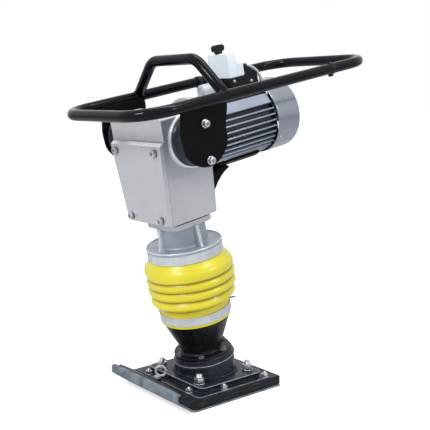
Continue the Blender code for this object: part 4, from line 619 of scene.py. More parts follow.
# Light lines along the foot's edges: worn paint, and painted highlight where the edges catch the
# light
WEAR_AND_HIGHLIGHT = Finish(
    "Worn edge and painted highlight", "black_paint", (0.34, 0.40, 0.46), 0.32, metallic=0.2, mottle=0.45,
    mottle_scale=60.0, grain=0.2,
)
ZINC_DULL = Finish(
    "Dull bolt heads", "zinc_steel", (0.10, 0.12, 0.15), 0.35, metallic=0.5, mottle=0.4,
    mottle_scale=60.0, grain=0.1, wear=0.9, wear_color=(0.45, 0.52, 0.58),
)
BAND_STEEL = Finish(
    "Band steel", "zinc_steel", (0.56, 0.59, 0.62), 0.40, metallic=0.35, mottle=0.14,
    mottle_scale=40.0, grain=0.05, wear=0.3, wear_color=(0.85, 0.87, 0.90),
)
MACHINED = Finish(
    "Machined steel", "machined_steel", (0.55, 0.56, 0.58), 0.30, metallic=1.0, mottle=0.15,
    mottle_scale=50.0, grain=0.06, scratch=0.2,
)
BRONZE = Finish("Bearing bronze", "bronze", (0.55, 0.36, 0.14), 0.35, metallic=1.0)
# Yellow rubber; its crease shade is painted shade, with some dirt, in the grooves
YELLOW = Finish(
    "Yellow rubber", "yellow_rubber", (0.74, 0.645, 0.018), 0.34, coat=0.2, mottle=0.08,
    mottle_scale=11.0, grain=0.04, grain_scale=240.0, cavity=0.92,
    crease_shade_color=(0.30, 0.20, 0.003),
)
BLACK_RUBBER = Finish(
    "Black rubber", "black_rubber", (0.010, 0.014, 0.024), 0.32, mottle=0.3, grain=0.10,
    grain_scale=350.0, specular=0.40,
)
WHITE_PLASTIC = Finish(
    "Switch housing", "white_plastic", (0.76, 0.83, 0.87), 0.38, mottle=0.04, grain=0.04,
)
BLACK_PLASTIC = Finish(
    "Black moulding", "black_plastic", (0.009, 0.009, 0.011), 0.36, mottle=0.2, grain=0.15,
    grain_scale=450.0, wear=0.15, wear_color=(0.10, 0.11, 0.12), specular=0.18,
)
CABLE_GREY = Finish("Cable grey", "cable_grey", (0.52, 0.56, 0.57), 0.42, mottle=0.08)
CAST_GREY = Finish(
    "Pale casting", "motor_silver", (0.56, 0.61, 0.66), 0.40, metallic=0.2, mottle=0.12,
    grain=0.15, grain_scale=380.0, wear=0.5, wear_color=(0.86, 0.89, 0.92),
)
COWL_SILVER = Finish(
    "Fan cowl silver", "silver_paint", (0.27, 0.295, 0.34), 0.24, metallic=0.5, coat=0.3,
    mottle=0.12, mottle_scale=8.0, grain=0.03,
)


class Paintwork:
    """Builds the shared node groups once, and one material for each finish that is asked for.

    Each pair of numbers is where a smooth step begins and ends: in the noise for patches, clouds
    and streaks, and in metres up for the heights of the painted side shade.
    """

    CLOUDS = (0.35, 0.65)
    WEAR_REACH = 0.0022
    WEAR_TURN = (0.01, 0.12)
    WEAR_PATCHES = (0.30, 0.52)
    WEAR_SCALE = 130.0
    DUST_PATCHES = (0.40, 0.70)
    DUST_SCALE = 45.0
    DUST_COLOR = (0.36, 0.37, 0.38)
    STREAKS = (0.60, 0.72)
    STREAK_SCALE = 40.0
    STREAK_STRETCH = (12.0, 0.5, 12.0)
    STREAK_TURN = (0.2, 0.1, 0.5)
    GROOVES = (0.10, 0.95)
    SIDEWAYS = (0.6, 0.9)
    SHADED_HEIGHTS = (0.54, 0.70)
    COAT_ROUGHNESS = 0.15
    ROUGHNESS_SPREAD = (0.9, 1.2)
    RELIEF = 0.001
    COARSE_SHARE = 0.15

    def __init__(self) -> None:
        """Starts with every group built and no material."""
        self.made: dict[str, bpy.types.Material] = {}
        self.groups = {
            effect: self.group(effect, name, value, fill)
            for effect, name, value, fill in (
                (Effect.MOTTLE, "Scale", 14.0, self.fill_mottle),
                (Effect.GRAIN, "Scale", 700.0, self.fill_grain),
                (Effect.WEAR, "Amount", 0.5, self.fill_wear),
                (Effect.DUST, "Top", 0.06, self.fill_dust),
                (Effect.SCRATCH, "Scale", self.STREAK_SCALE, self.fill_scratch),
                (Effect.CAVITY, "Amount", 0.5, self.fill_crease_shade),
                (Effect.SHADE, "Amount", 0.5, self.fill_shade),
            )
        }

    def group(
        self,
        effect: Effect,
        name: str,
        value: float,
        fill: Callable[[Tree, bpy.types.NodeSocket], bpy.types.NodeSocket],
    ) -> bpy.types.NodeTree:
        """Makes one node group with a float input and one float output named Mask.

        Args:
            effect: which group it is.
            name: the input's name.
            value: the input's first value.
            fill: the method that fills it and returns the socket of its mask.

        Returns:
            The group.
        """
        tree = bpy.data.node_groups.new(effect.value, "ShaderNodeTree")
        kind = {"socket_type": "NodeSocketFloat"}
        tree.interface.new_socket(name, in_out="INPUT", **kind).default_value = value
        tree.interface.new_socket("Mask", in_out="OUTPUT", **kind)
        t = Tree(tree)
        given = t.add("NodeGroupInput").outputs[name]
        t.add("NodeGroupOutput", None, {"Mask": fill(t, given)})
        return tree

    def fill_mottle(self, t: Tree, scale: bpy.types.NodeSocket) -> bpy.types.NodeSocket:
        """Soft cloudy patches: noise spread between its middle values."""
        return t.spread(t.noise(t.place(), scale, 4.0), *self.CLOUDS)

    def fill_grain(self, t: Tree, scale: bpy.types.NodeSocket) -> bpy.types.NodeSocket:
        """The fine height of sprayed paint or cast skin: coarse noise plus fine noise.

        Args:
            t: the group's tree.
            scale: how fine the noise is.

        Returns:
            The height's socket.
        """
        place = t.place()
        inputs = {0: scale, 1: self.COARSE_SHARE}
        wide = t.add("ShaderNodeMath", {"operation": "MULTIPLY"}, inputs).outputs[0]
        coarse = t.math("MULTIPLY", t.noise(place, wide, 2.0), 0.5)
        fine = t.math("MULTIPLY", t.noise(place, scale), 0.5)
        return t.math("ADD", coarse, fine)

    def fill_wear(self, t: Tree, amount: bpy.types.NodeSocket) -> bpy.types.NodeSocket:
        """Edges: one less the product of the rounded and the plain normal, broken by noise.

        Args:
            t: the group's tree.
            amount: how much of the paint is gone there.

        Returns:
            The worn edges' mask.
        """
        rounded = t.add("ShaderNodeBevel", {"samples": 6}, {"Radius": self.WEAR_REACH}).outputs[0]
        settings = {"operation": "DOT_PRODUCT"}
        dot = t.add("ShaderNodeVectorMath", settings, {0: rounded, 1: t.normal()}).outputs["Value"]
        edge = t.spread(t.math("SUBTRACT", 1.0, dot), *self.WEAR_TURN)
        patches = t.spread(t.noise(t.place(), self.WEAR_SCALE, 4.0), *self.WEAR_PATCHES)
        return t.math("MULTIPLY", t.math("MULTIPLY", edge, patches), amount)

    def fill_dust(self, t: Tree, top: bpy.types.NodeSocket) -> bpy.types.NodeSocket:
        """Dust that thins with height above the ground, in patches.

        Args:
            t: the group's tree.
            top: height where it ends.

        Returns:
            The dust's mask.
        """
        place = t.place()
        low = t.math("SUBTRACT", 1.0, t.spread(t.part(place, "Z"), 0.0, top))
        patches = t.spread(t.noise(place, self.DUST_SCALE, 5.0), *self.DUST_PATCHES)
        return t.math("MULTIPLY", low, patches)

    def fill_scratch(self, t: Tree, scale: bpy.types.NodeSocket) -> bpy.types.NodeSocket:
        """Thin streaks: noise stretched along y and turned, kept only near its top.

        Args:
            t: the group's tree.
            scale: how fine the noise is.

        Returns:
            The streaks' mask.
        """
        stretch, turn = self.STREAK_STRETCH, self.STREAK_TURN
        inputs = {"Vector": t.place(), "Scale": stretch, "Rotation": turn}
        place = t.add("ShaderNodeMapping", None, inputs).outputs[0]
        return t.spread(t.noise(place, scale), *self.STREAKS)

    def fill_crease_shade(self, t: Tree, amount: bpy.types.NodeSocket) -> bpy.types.NodeSocket:
        """Painted crease shade: the depth of a groove, read from the mesh, sharpened towards its
        bottom.
        """
        depth = t.add("ShaderNodeAttribute", {"attribute_name": "cavity"}).outputs["Fac"]
        return t.math("MULTIPLY", t.spread(depth, *self.GROOVES), amount)

    def fill_shade(self, t: Tree, amount: bpy.types.NodeSocket) -> bpy.types.NodeSocket:
        """Painted shade on the upper part of upright side faces, where the handle frame shades
        them.

        Args:
            t: the group's tree.
            amount: how strong it is.

        Returns:
            The painted shade's mask.
        """
        sideways = t.part(t.normal(), "X")
        reach = t.add("ShaderNodeMath", {"operation": "ABSOLUTE"}, {0: sideways}).outputs[0]
        side = t.spread(reach, *self.SIDEWAYS)
        high = t.spread(t.part(t.place(), "Z"), *self.SHADED_HEIGHTS)
        return t.math("MULTIPLY", t.math("MULTIPLY", side, high), amount)

    def use(self, t: Tree, effect: Effect, **values: float) -> bpy.types.NodeSocket:
        """Places a shared group in a material and returns its mask."""
        settings = {"node_tree": self.groups[effect]}
        return t.add("ShaderNodeGroup", settings, values).outputs["Mask"]

    def color(
        self, t: Tree, finish: Finish, mottle: bpy.types.NodeSocket
    ) -> bpy.types.NodeSocket:
        """Lays the finish's effects over its mottled colour: scratches, dust, painted side shade,
        painted crease shade and wear, in this order.

        Args:
            t: the material's tree.
            finish: what the surface is made of.
            mottle: the mask of its soft patches.

        Returns:
            The colour's socket.
        """
        dark = (*(c * (1 - finish.mottle) for c in finish.color), 1.0)
        color = t.mix(mottle, (*finish.color, 1.0), dark)
        streaks, dust = {"Scale": self.STREAK_SCALE}, {"Top": finish.dust_top}
        for effect, amount, values, tint in (
            (Effect.SCRATCH, finish.scratch, streaks, finish.wear_color),
            (Effect.DUST, finish.dust, dust, self.DUST_COLOR),
            (Effect.SHADE, finish.shade, None, finish.shade_color),
            (Effect.CAVITY, finish.cavity, None, finish.crease_shade_color),
            (Effect.WEAR, finish.wear, None, finish.wear_color),
        ):
            if not amount:
                continue
            mask = self.use(t, effect, **(values or {"Amount": amount}))
            if values:
                mask = t.math("MULTIPLY", mask, amount)
            color = t.mix(mask, color, (*tint, 1.0))
        return color

    def material(self, finish: Finish) -> bpy.types.Material:
        """The finish's material, made on first use.

        Args:
            finish: what the surface is made of.

        Returns:
            The material.
        """
        if finish.name in self.made:
            return self.made[finish.name]
        material = bpy.data.materials.new(finish.name)
        material.use_nodes = True
        t = Tree(material.node_tree)
        mottle = self.use(t, Effect.MOTTLE, Scale=finish.mottle_scale)
        low, high = (min(finish.roughness * share, 1.0) for share in self.ROUGHNESS_SPREAD)
        rough = t.add("ShaderNodeMapRange", None, {"Value": mottle, "To Min": low, "To Max": high})
        grain = self.use(t, Effect.GRAIN, Scale=finish.grain_scale)
        relief = {"Strength": finish.grain, "Distance": self.RELIEF, "Height": grain}
        bump = t.add("ShaderNodeBump", None, relief)
        t.fill(t.tree.nodes["Principled BSDF"], {
            "Base Color": self.color(t, finish, mottle),
            "Roughness": rough.outputs["Result"],
            "Normal": bump.outputs["Normal"],
            "Metallic": finish.metallic,
            "Specular IOR Level": finish.specular,
            "Coat Weight": finish.coat,
            "Coat Roughness": self.COAT_ROUGHNESS,
        })
        self.made[finish.name] = material
        return material


PAINT = Paintwork()


def publish(
    name: str,
    skin: Skin,
    finish: Finish,
    body: Body | None,
    stands_for: tuple[str, ...] = (),
    bevel: float = 0.0,
    segments: int = 3,
) -> bpy.types.Object:
    """Makes a piece of a world skin, dresses it and lets it ride on its body.

    Args:
        name: the piece's name.
        skin: its mesh in world metres.
        finish: its finish.
        body: the body it rides on, or None for a piece that rides on no body.
        stands_for: the CAD nodes that it replaces.
        bevel: width of a bevel on its sharp edges.
        segments: faces across that bevel.

    Returns:
        The piece.
    """
    mesh = bpy.data.meshes.new(name)
    mesh.from_pydata(skin.points.tolist(), [], skin.faces)
    if skin.cavity is not None:
        depth = mesh.attributes.new("cavity", "FLOAT", "POINT")
        depth.data.foreach_set("value", skin.cavity.astype(np.float32).ravel())
    work = bmesh.new()
    work.from_mesh(mesh)
    bmesh.ops.remove_doubles(work, verts=work.verts, dist=WELD)
    bmesh.ops.recalc_face_normals(work, faces=work.faces)
    work.to_mesh(mesh)
    work.free()
    mesh.shade_smooth()
    piece = bpy.data.objects.new(name, mesh)
    bpy.context.scene.collection.objects.link(piece)
    if bevel:
        edges = piece.modifiers.new("Edges", "BEVEL")
        edges.width = bevel
        edges.segments = segments
        edges.limit_method = "ANGLE"
        edges.angle_limit = math.radians(SMOOTH_DEG)
        edges.harden_normals = True
    else:
        mesh.set_sharp_from_angle(angle=math.radians(SMOOTH_DEG))
    mesh.materials.append(PAINT.material(finish))
    if body is not None:
        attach(piece, body.value)
    if stands_for:
        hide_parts(*stands_for)
    LOG.info("%s: %d points, %s", name, len(mesh.vertices), finish.name)
    return piece


@dataclass
class Shoe:
    """Steel sole with its turned-up toe, the slab on it, the cover sheet and the eye bolt."""

    half_width: float = 0.150
    flat_half: float = 0.144
    sole: float = 0.005
    slab_low: float = 0.0053
    slab_top: float = 0.0303
    slope_start: float = -0.152
    slope_foot: float = -0.1345
    land: float = 0.024
    toe_bend: float = 0.045
    lip_y: float = -0.2050
    lip_foot: float = 0.0378
    lip_bend: float = 0.008
    lip_top: float = 0.0595
    fold: float = 0.0125
    fold_bend: float = 0.0062
    sheet: tuple = (0.1420, 0.1225, 0.010)
    sheet_hole: tuple = (0.1206, 0.1047, 0.016)
    sheet_forward: float = 0.0085
    sheet_heights: tuple = (0.0001, 0.0012)
    sheet_rim: tuple[float, float] = (0.0009, 0.0002)
    eye_place: tuple[float, float] = (-0.029, -0.137)
    eye_facing: float = 50.0
    eye_pad: tuple[float, float] = (0.010, 0.0380)
    eye_base: float = 0.0383
    eye_collar: tuple[float, float] = (0.0150, 0.0068)
    eye_center: tuple[float, float] = (0.0095, 0.0585)
    eye_radius: float = 0.0135
    eye_wire: float = 0.0032
    shank: float = 0.0036
    shank_end: float = 0.0125

    def toe(self, offset: float, lip_top: float, fold: float = 0) -> np.ndarray:
        """The underside raised by offset, as (y, z): flat, a rounded slope, the lip and its fold.

        Args:
            offset: how far inside the sheet's outer face the line runs.
            lip_top: height where the lip ends.
            fold: how far the lip's top edge is folded back, or 0.

        Returns:
            The line's points from the heel to the lip.
        """
        rise = self.lip_foot / (self.slope_start - self.lip_y)
        bend = self.slope_start + offset * math.tan(math.atan(rise) / 2)
        lip = self.lip_y + offset
        profile = [
            (self.flat_half, offset, 0), (bend, offset, self.toe_bend),
            (lip, offset + (bend - lip) * rise, self.lip_bend), (lip, lip_top, 0),
        ]
        if fold:
            profile[-1] = (lip, lip_top, self.fold_bend - offset)
            profile.append((self.lip_y + fold, lip_top, 0))
        return eased(profile, 10, closed=False)

    def build(self) -> None:
        """Builds the shoe."""
        wide, inside = self.half_width, self.lip_top - self.sole
        outer = self.toe(0, self.lip_top, self.fold)
        inner = self.toe(self.sole, inside, self.fold)
        sole = prism(np.vstack([outer, inner[::-1]]), -wide, wide).laid(Axis.X)
        publish("shoe_sole", sole, TOE_STEEL, Body.FOOT, ("sole_plate",), bevel=0.0014, segments=2)
        under = self.toe(self.slab_low, inside - GAP)
        end, top = under[-1]
        upper = eased([
            (end, top, 0), (end + self.land, top, 0.004), (self.slope_foot, self.slab_top, 0.012),
            (self.flat_half, self.slab_top, 0),
        ], 5, closed=False)
        slab = prism(np.vstack([under[:-1], upper]), -wide + GAP, wide - GAP).laid(Axis.X)
        publish("shoe_slab_body", slab, SLAB_BLACK, Body.FOOT, ("shoe_slab",), bevel=0.003)
        outer = rounded_rectangle(*self.sheet) - np.array([0, self.sheet_forward])
        low, high = (self.slab_top + rise for rise in self.sheet_heights)
        sheet = holed(outer, rounded_rectangle(*self.sheet_hole), low, high)
        publish("shoe_cover_sheet", sheet, FOOT_BLACK, Body.FOOT, bevel=0.0003, segments=1)
        # A light line round the sheet's edge: worn paint and painted highlight
        radius, sunk = self.sheet_rim
        rim = carried(stacked([(outer, high - sunk)])[0], radius, UP, closed=True, sides=8)
        publish("shoe_sheet_rim", rim, WEAR_AND_HIGHLIGHT, Body.FOOT)
        self.build_eye()

    def build_eye(self) -> None:
        """A raised pad with a collar, a leaning shank and a forged ring on it."""
        center = (*self.eye_place, 0)
        radius, top = self.eye_pad
        pad = disc(radius, self.slab_top - 0.004, top, 0.002, 64).laid(Axis.A, center)
        publish("eye_pad", pad, SLAB_BLACK, Body.FOOT)
        base, (out, height) = self.eye_base, self.eye_center
        collar = hexagon(*self.eye_collar).laid(Axis.A, (0, 0, base))
        middle = np.array([out, 0.0, height])
        lean = math.atan2(out, height - base)
        end = middle - np.array([math.sin(lean), 0, math.cos(lean)]) * self.shank_end
        shank = carried(np.linspace([0, 0, base + 0.003], end, 6), self.shank, BACK, sides=20)
        circle = polar(self.eye_radius, full_turn(64))[:, [0, 2, 1]] + middle
        ring = carried(circle, self.eye_wire, BACK, closed=True, sides=20)
        eye = (collar + shank + ring).spun(self.eye_facing).laid(Axis.A, center)
        publish("eye_ring", eye, BAND_STEEL, Body.FOOT, ("eye_bolt",))


@dataclass
class FootFlange:
    """Square plate with the leaning boss welded on it, and the studs and bolts of the shoe."""

    half_width: float = 0.120
    half_length: float = 0.104
    low: float = 0.0306
    top: float = 0.0426
    corner: float = 0.016
    base_radius: float = 0.0850
    setback: float = 0.003
    weld: tuple = (0.0034, 0.0004, 62)
    weld_rise: float = 0.0008
    bore: float = 0.0503
    floor: float = 0.060
    ridge: tuple = (
        (0.0818, 0.0800, 0), (0.0836, 0.0822, 0.001), (0.0836, 0.0866, 0.001),
        (0.0812, 0.0880, 0.002), (0.0790, 0.0975, 0.002), (0.0770, 0.0990, 0.001),
        (0.0515, 0.0990, 0.001), (0.0503, 0.0975, 0),
    )
    ridge_line: tuple[float, float] = (0.0832, 0.0850)
    ridge_bead: float = 0.0012
    plate_rim: tuple[float, float] = (0.0013, 0.0005)
    stud_at: float = 0.083
    bolts: tuple = (("front", 0.090, -0.1225), ("middle", 0.131, -0.039), ("rear", 0.131, 0.1035))
    stud: Fastener = Fastener(0.0155, 0.0025, 0.024, 0.013, 0.008, 0.026, 0.0020)
    bolt: Fastener = Fastener(0.0105, 0.0020, 0.016, 0.007, 0.004, 0.014, 0.0013)
    seed: int = 11

    def build(self) -> None:
        """Builds the plate, the boss with its weld, and the fasteners."""
        outline = rounded_rectangle(self.half_width, self.half_length, self.corner)
        plate = prism(outline, self.low, self.top).laid(Axis.A)
        publish("foot_plate", plate, FOOT_BLACK, Body.FOOT, ("foot_flange",), bevel=0.0016)
        publish("foot_boss", self.boss(), FOOT_BLACK, Body.FOOT)
        t, back = full_turn(720), np.array([0, self.setback, 0])
        path = polar(self.base_radius + GAP, t, self.top + self.weld_rise) + back
        ripple = rippled(t, *self.weld) + 0.0003 * np.sin(t * 7)
        weld = carried(path, ripple, UP, closed=True, sides=12)
        publish("foot_weld", weld, FOOT_BLACK, Body.FOOT)
        # Light lines round the boss's ridge and the plate's rim: worn paint and painted highlight
        radius, level = self.ridge_line
        path = leaned(polar(radius, t[::5], level) + back)
        ridge = carried(path, self.ridge_bead, UP, closed=True, sides=10)
        publish("foot_ridge", ridge, WEAR_AND_HIGHLIGHT, Body.FOOT)
        edge = rounded_rectangle(self.half_width - GAP, self.half_length - GAP, self.corner)
        radius, sunk = self.plate_rim
        rim = carried(stacked([(edge, self.top - sunk)])[0], radius, UP, closed=True, sides=10)
        publish("foot_plate_rim", rim, WEAR_AND_HIGHLIGHT, Body.FOOT)
        self.build_fasteners()

    def boss(self) -> Skin:
        """Rings lofted from level ones on the plate to ones square to the machine axis.

        Returns:
            The boss in world metres.
        """
        t, back = full_turn(ROUND), np.array([0, self.setback, 0])
        radius, foot = self.base_radius, self.top - 0.004
        level = [(0.0, foot), (radius, foot), (radius - 0.001, self.top + 0.002)]
        rings = [polar(r, t, z) + back for r, z in level]
        square = [*eased(self.ridge, 4, closed=False), (self.bore, self.floor), (0.0, self.floor)]
        rings += [leaned(polar(r, t, a) + back) for r, a in square]
        return grid(np.stack(rings))

    def build_fasteners(self) -> None:
        """Four studs through the plate and six bolts round it."""
        turns = iter(np.random.default_rng(self.seed).uniform(0, HEX_TURN, 10))
        x = self.stud_at
        for side, sign in SIDES:
            studs = [
                (f"flange_stud_{side}_{end}", self.stud, (sign * x, y, self.top + GAP))
                for end, y in (("front", -x), ("rear", x))
            ]
            bolts = [
                (f"shoe_bolt_{side}_{end}", self.bolt, (sign * x, y, self.low))
                for end, x, y in self.bolts
            ]
            for node, fastener, seat in studs + bolts:
                skin = fastener.skin(next(turns)).laid(Axis.A, seat)
                publish(f"{node}_nut", skin, ZINC, Body.FOOT, (node,))


@dataclass
class ClampBand:
    """A clamp band with rolled edges, its lapped end, worm housing and screw.

    The facing is where its screw stands round the band, in degrees.
    """

    node: str
    body: Body
    inner: float
    low: float
    width: float
    facing: float
    thickness: float = 0.0016
    roll_out: float = 0.0020
    roll_high: float = 0.0016
    roll_foot: float = 0.003
    rounding: float = 0.0007
    lap_ends: tuple[float, float] = (-16, 5)
    lap_rise: float = 0.0012
    lap_inset: float = 0.0035
    worm_out: float = 0.0032
    worm_facing: float = 150
    screw: tuple = (0.0040, -0.013, 0.010, 0.0008)
    head: tuple[float, float] = (0.0085, 0.0045)
    saddle: tuple = (0.0026, 0.0065, 0.002)
    saddle_ends: tuple[float, float] = (-0.0095, 0.0045)
    saddle_sunk: float = 0.0005

    def build(self) -> None:
        """Builds the band as one piece."""
        inner, low, high = self.inner, self.low, self.low + self.width
        outer, lip, middle = inner + self.thickness, inner + self.roll_out, low + self.width / 2
        line = [
            (inner, low), (lip, low), (lip, low + self.roll_high), (outer, low + self.roll_foot),
            (outer, high - self.roll_foot), (lip, high - self.roll_high), (lip, high),
            (inner, high),
        ]
        band = turned(filleted(line, self.rounding, 3))
        t = np.radians(np.linspace(*self.lap_ends, 16))
        lap = np.vstack([polar(outer + self.lap_rise, t), polar(outer, t[::-1])])[:, :2]
        strap = prism(lap, low + self.lap_inset, high - self.lap_inset)
        seat = outer + self.worm_out
        screw = disc(*self.screw, 32).laid(Axis.U, (seat, 0, middle))
        head = hexagon(*self.head).laid(Axis.U, (seat, self.screw[2], middle))
        saddle = prism(rounded_rectangle(*self.saddle), *self.saddle_ends)
        saddle = saddle.laid(Axis.U, (seat - self.saddle_sunk, 0, middle))
        worm = (screw + head + saddle).spun(self.worm_facing)
        skin = (band + strap + worm).spun(self.facing).leaned()
        publish(f"{self.node}_strap", skin, BAND_STEEL, self.body, (self.node,))


@dataclass
class SpringLeg:
    """Black spring housing, yellow bellows and the two clamp bands."""

    bore: float = 0.0503
    housing_base: float = 0.0993
    flange_height: float = 0.008
    flange_radius: float = 0.0764
    bolt_circle: float = 0.067
    bolt_count: int = 6
    bolt_start: float = 20.0
    neck_radius: float = 0.0565
    rim_radius: float = 0.0905
    rim_wall: float = 0.006
    cone_foot: float = 0.012
    cone_top: float = 0.1985
    housing_top: float = 0.242
    wall: float = 0.0035
    collar: float = 0.0943
    top_collar: float = 0.0983
    bottom: float = 0.2030
    lobe_power: float = 0.8
    # painted shade at the collars, and how far it fades along the tall lobe
    collar_shade: float = 0.3
    shade_fade: float = 0.010
    collar_top: float = 0.2465
    lobes_top: float = 0.3785
    top: float = 0.4020
    rear_sag: float = 0.0040
    uneven_part: tuple[float, float] = (0.251, 0.372)
    uneven_fade: float = 0.02
    uneven_waves: tuple = ((0.0007, 2, 0.6), (0.0004, 3, 2.0))
    uneven_change: float = 90.0
    grooves: tuple = ((0.0975, 0.2515), (0.1080, 0.2805), (0.1116, 0.3065), (0.1132, 0.3310))
    crowns: tuple = (0.1140, 0.1174, 0.1186)
    shoulder: tuple = (
        (0.1168, 0.3362), (0.1182, 0.3450), (0.1170, 0.3535), (0.1128, 0.3620), (0.1055, 0.3700),
    )
    lower_band: tuple = (0.2105, 0.022, 60)
    upper_band: tuple = (0.3795, 0.0237, 0)
    tail: tuple = ((0, 0.090, 0.2145), (0, 0.140, 0.2035))
    tail_radius: float = 0.0021
    head: Fastener = Fastener(0.0088, 0.0012, 0.012, 0.0052, 0.002, 0.0055)

    def build(self) -> None:
        """Builds the leg."""
        base, neck = self.housing_base, self.housing_base + self.flange_height
        rim, inside = self.rim_radius, self.rim_radius - self.rim_wall
        housing = turned(eased([
            (self.bore, base, 0.0005), (self.flange_radius, base, 0.0008),
            (self.flange_radius, neck, 0.0016), (self.neck_radius, neck, 0.006),
            (self.neck_radius, neck + self.cone_foot, 0.012), (rim, self.cone_top, 0.012),
            (rim, self.housing_top, 0.001), (inside, self.housing_top, 0.001),
            (inside, self.cone_top + 0.002, 0.006), (self.bore, neck + 0.020, 0.003),
        ], 8)).leaned()
        publish("spring_cone", housing, CONE_BLACK, Body.FOOT, ("spring_housing",))
        heads = []
        for index in range(self.bolt_count):
            t = math.radians(360 / self.bolt_count * index + self.bolt_start)
            place = (self.bolt_circle * math.cos(t), self.bolt_circle * math.sin(t), neck)
            heads.append(self.head.skin(17.0 * index).laid(Axis.A, place))
        publish("housing_bolts", joined(heads).leaned(), ZINC_DULL, Body.FOOT)
        self.build_bellows()
        tail = carried(np.linspace(*self.tail, 8), self.tail_radius, ACROSS, sides=16).leaned()
        publish("lower_band_tail", tail, BLACK_PLASTIC, Body.FOOT)
        inside = self.collar + GAP
        ClampBand("lower_clamp_band", Body.FOOT, inside, *self.lower_band).build()
        inside = self.top_collar + GAP
        ClampBand("upper_clamp_band", Body.UPPER, inside, *self.upper_band).build()

    def outline(self) -> tuple[np.ndarray, np.ndarray]:
        """Outer (radius, height) line of the bellows, and how deep in a groove each point is, for
        its painted shade.

        Each small lobe swells from the line between its two grooves towards its crown by
        sin(pi s) to lobe_power; the tall lobe is a smooth curve through its shoulder points.

        Returns:
            The line as (n, 2), and its depths from 0 to 1.
        """
        s = 0.5 - 0.5 * np.cos(np.linspace(0, math.pi, 25))[:-1]
        swell = np.sin(math.pi * s) ** self.lobe_power
        collar_shade, fade = self.collar_shade, self.shade_fade
        line = [[(self.collar, self.bottom), (self.collar, self.collar_top)]]
        depth = [[0, collar_shade]]
        for low, high, crown in zip(self.grooves, self.grooves[1:], self.crowns):
            base, height = (a + (b - a) * s for a, b in zip(low, high))
            line.append(np.column_stack([base + (crown - base) * swell, height]))
            depth.append(np.clip(1 - swell * 1.15, 0, 1))
        knots = [self.grooves[-1], *self.shoulder, (self.top_collar, self.lobes_top)]
        tall, at = smooth_through(knots, 40)
        near_groove = np.clip(1 - at / fade, 0, 1)
        near_collar = np.clip((at - at[-1]) / fade + 1, 0, 1) * collar_shade
        line += [tall, [(self.top_collar, self.top)]]
        depth += [near_groove + near_collar, [0]]
        return np.vstack(line), np.concatenate(depth)

    def build_bellows(self) -> None:
        """One closed rubber skin with an even wall, between the foot and the upper part.

        Its lobes are a little out of round, by two waves round it that change with height, and
        it sags back by a half wave between its collars.
        """
        outer, depth = self.outline()
        slope = np.gradient(outer, axis=0)
        slope = slope / np.maximum(np.linalg.norm(slope, axis=1, keepdims=True), 1e-9)
        inner = outer + self.wall * np.column_stack([-slope[:, 1], slope[:, 0]])
        t = full_turn(144)
        line = np.vstack([outer, inner[::-1]])
        r, h = line[:, :1], line[:, 1:]
        (low, high), fade = self.uneven_part, self.uneven_fade
        free = np.clip((h - low) / fade, 0, 1) * np.clip((high - h) / fade, 0, 1)
        waves = sum(size * np.sin(count * t + phase) for size, count, phase in self.uneven_waves)
        points = polar(r + waves * free * np.sin(h * self.uneven_change), t, h)
        share = np.clip((h - self.collar_top) / (self.lobes_top - self.collar_top), 0, 1)
        points[..., 1] += self.rear_sag * np.sin(math.pi * share)
        skin = grid(points, ring=True).leaned()
        skin.cavity = np.repeat(np.concatenate([depth, depth[::-1]]), len(t))
        start, end = leaned(np.array([[0, 0, self.collar_top], [0, 0, self.lobes_top]]))
        piece = publish("bellows_rubber", skin, YELLOW, None, ("bellows",))
        tuple(start)
        tuple(end)
        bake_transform(piece)


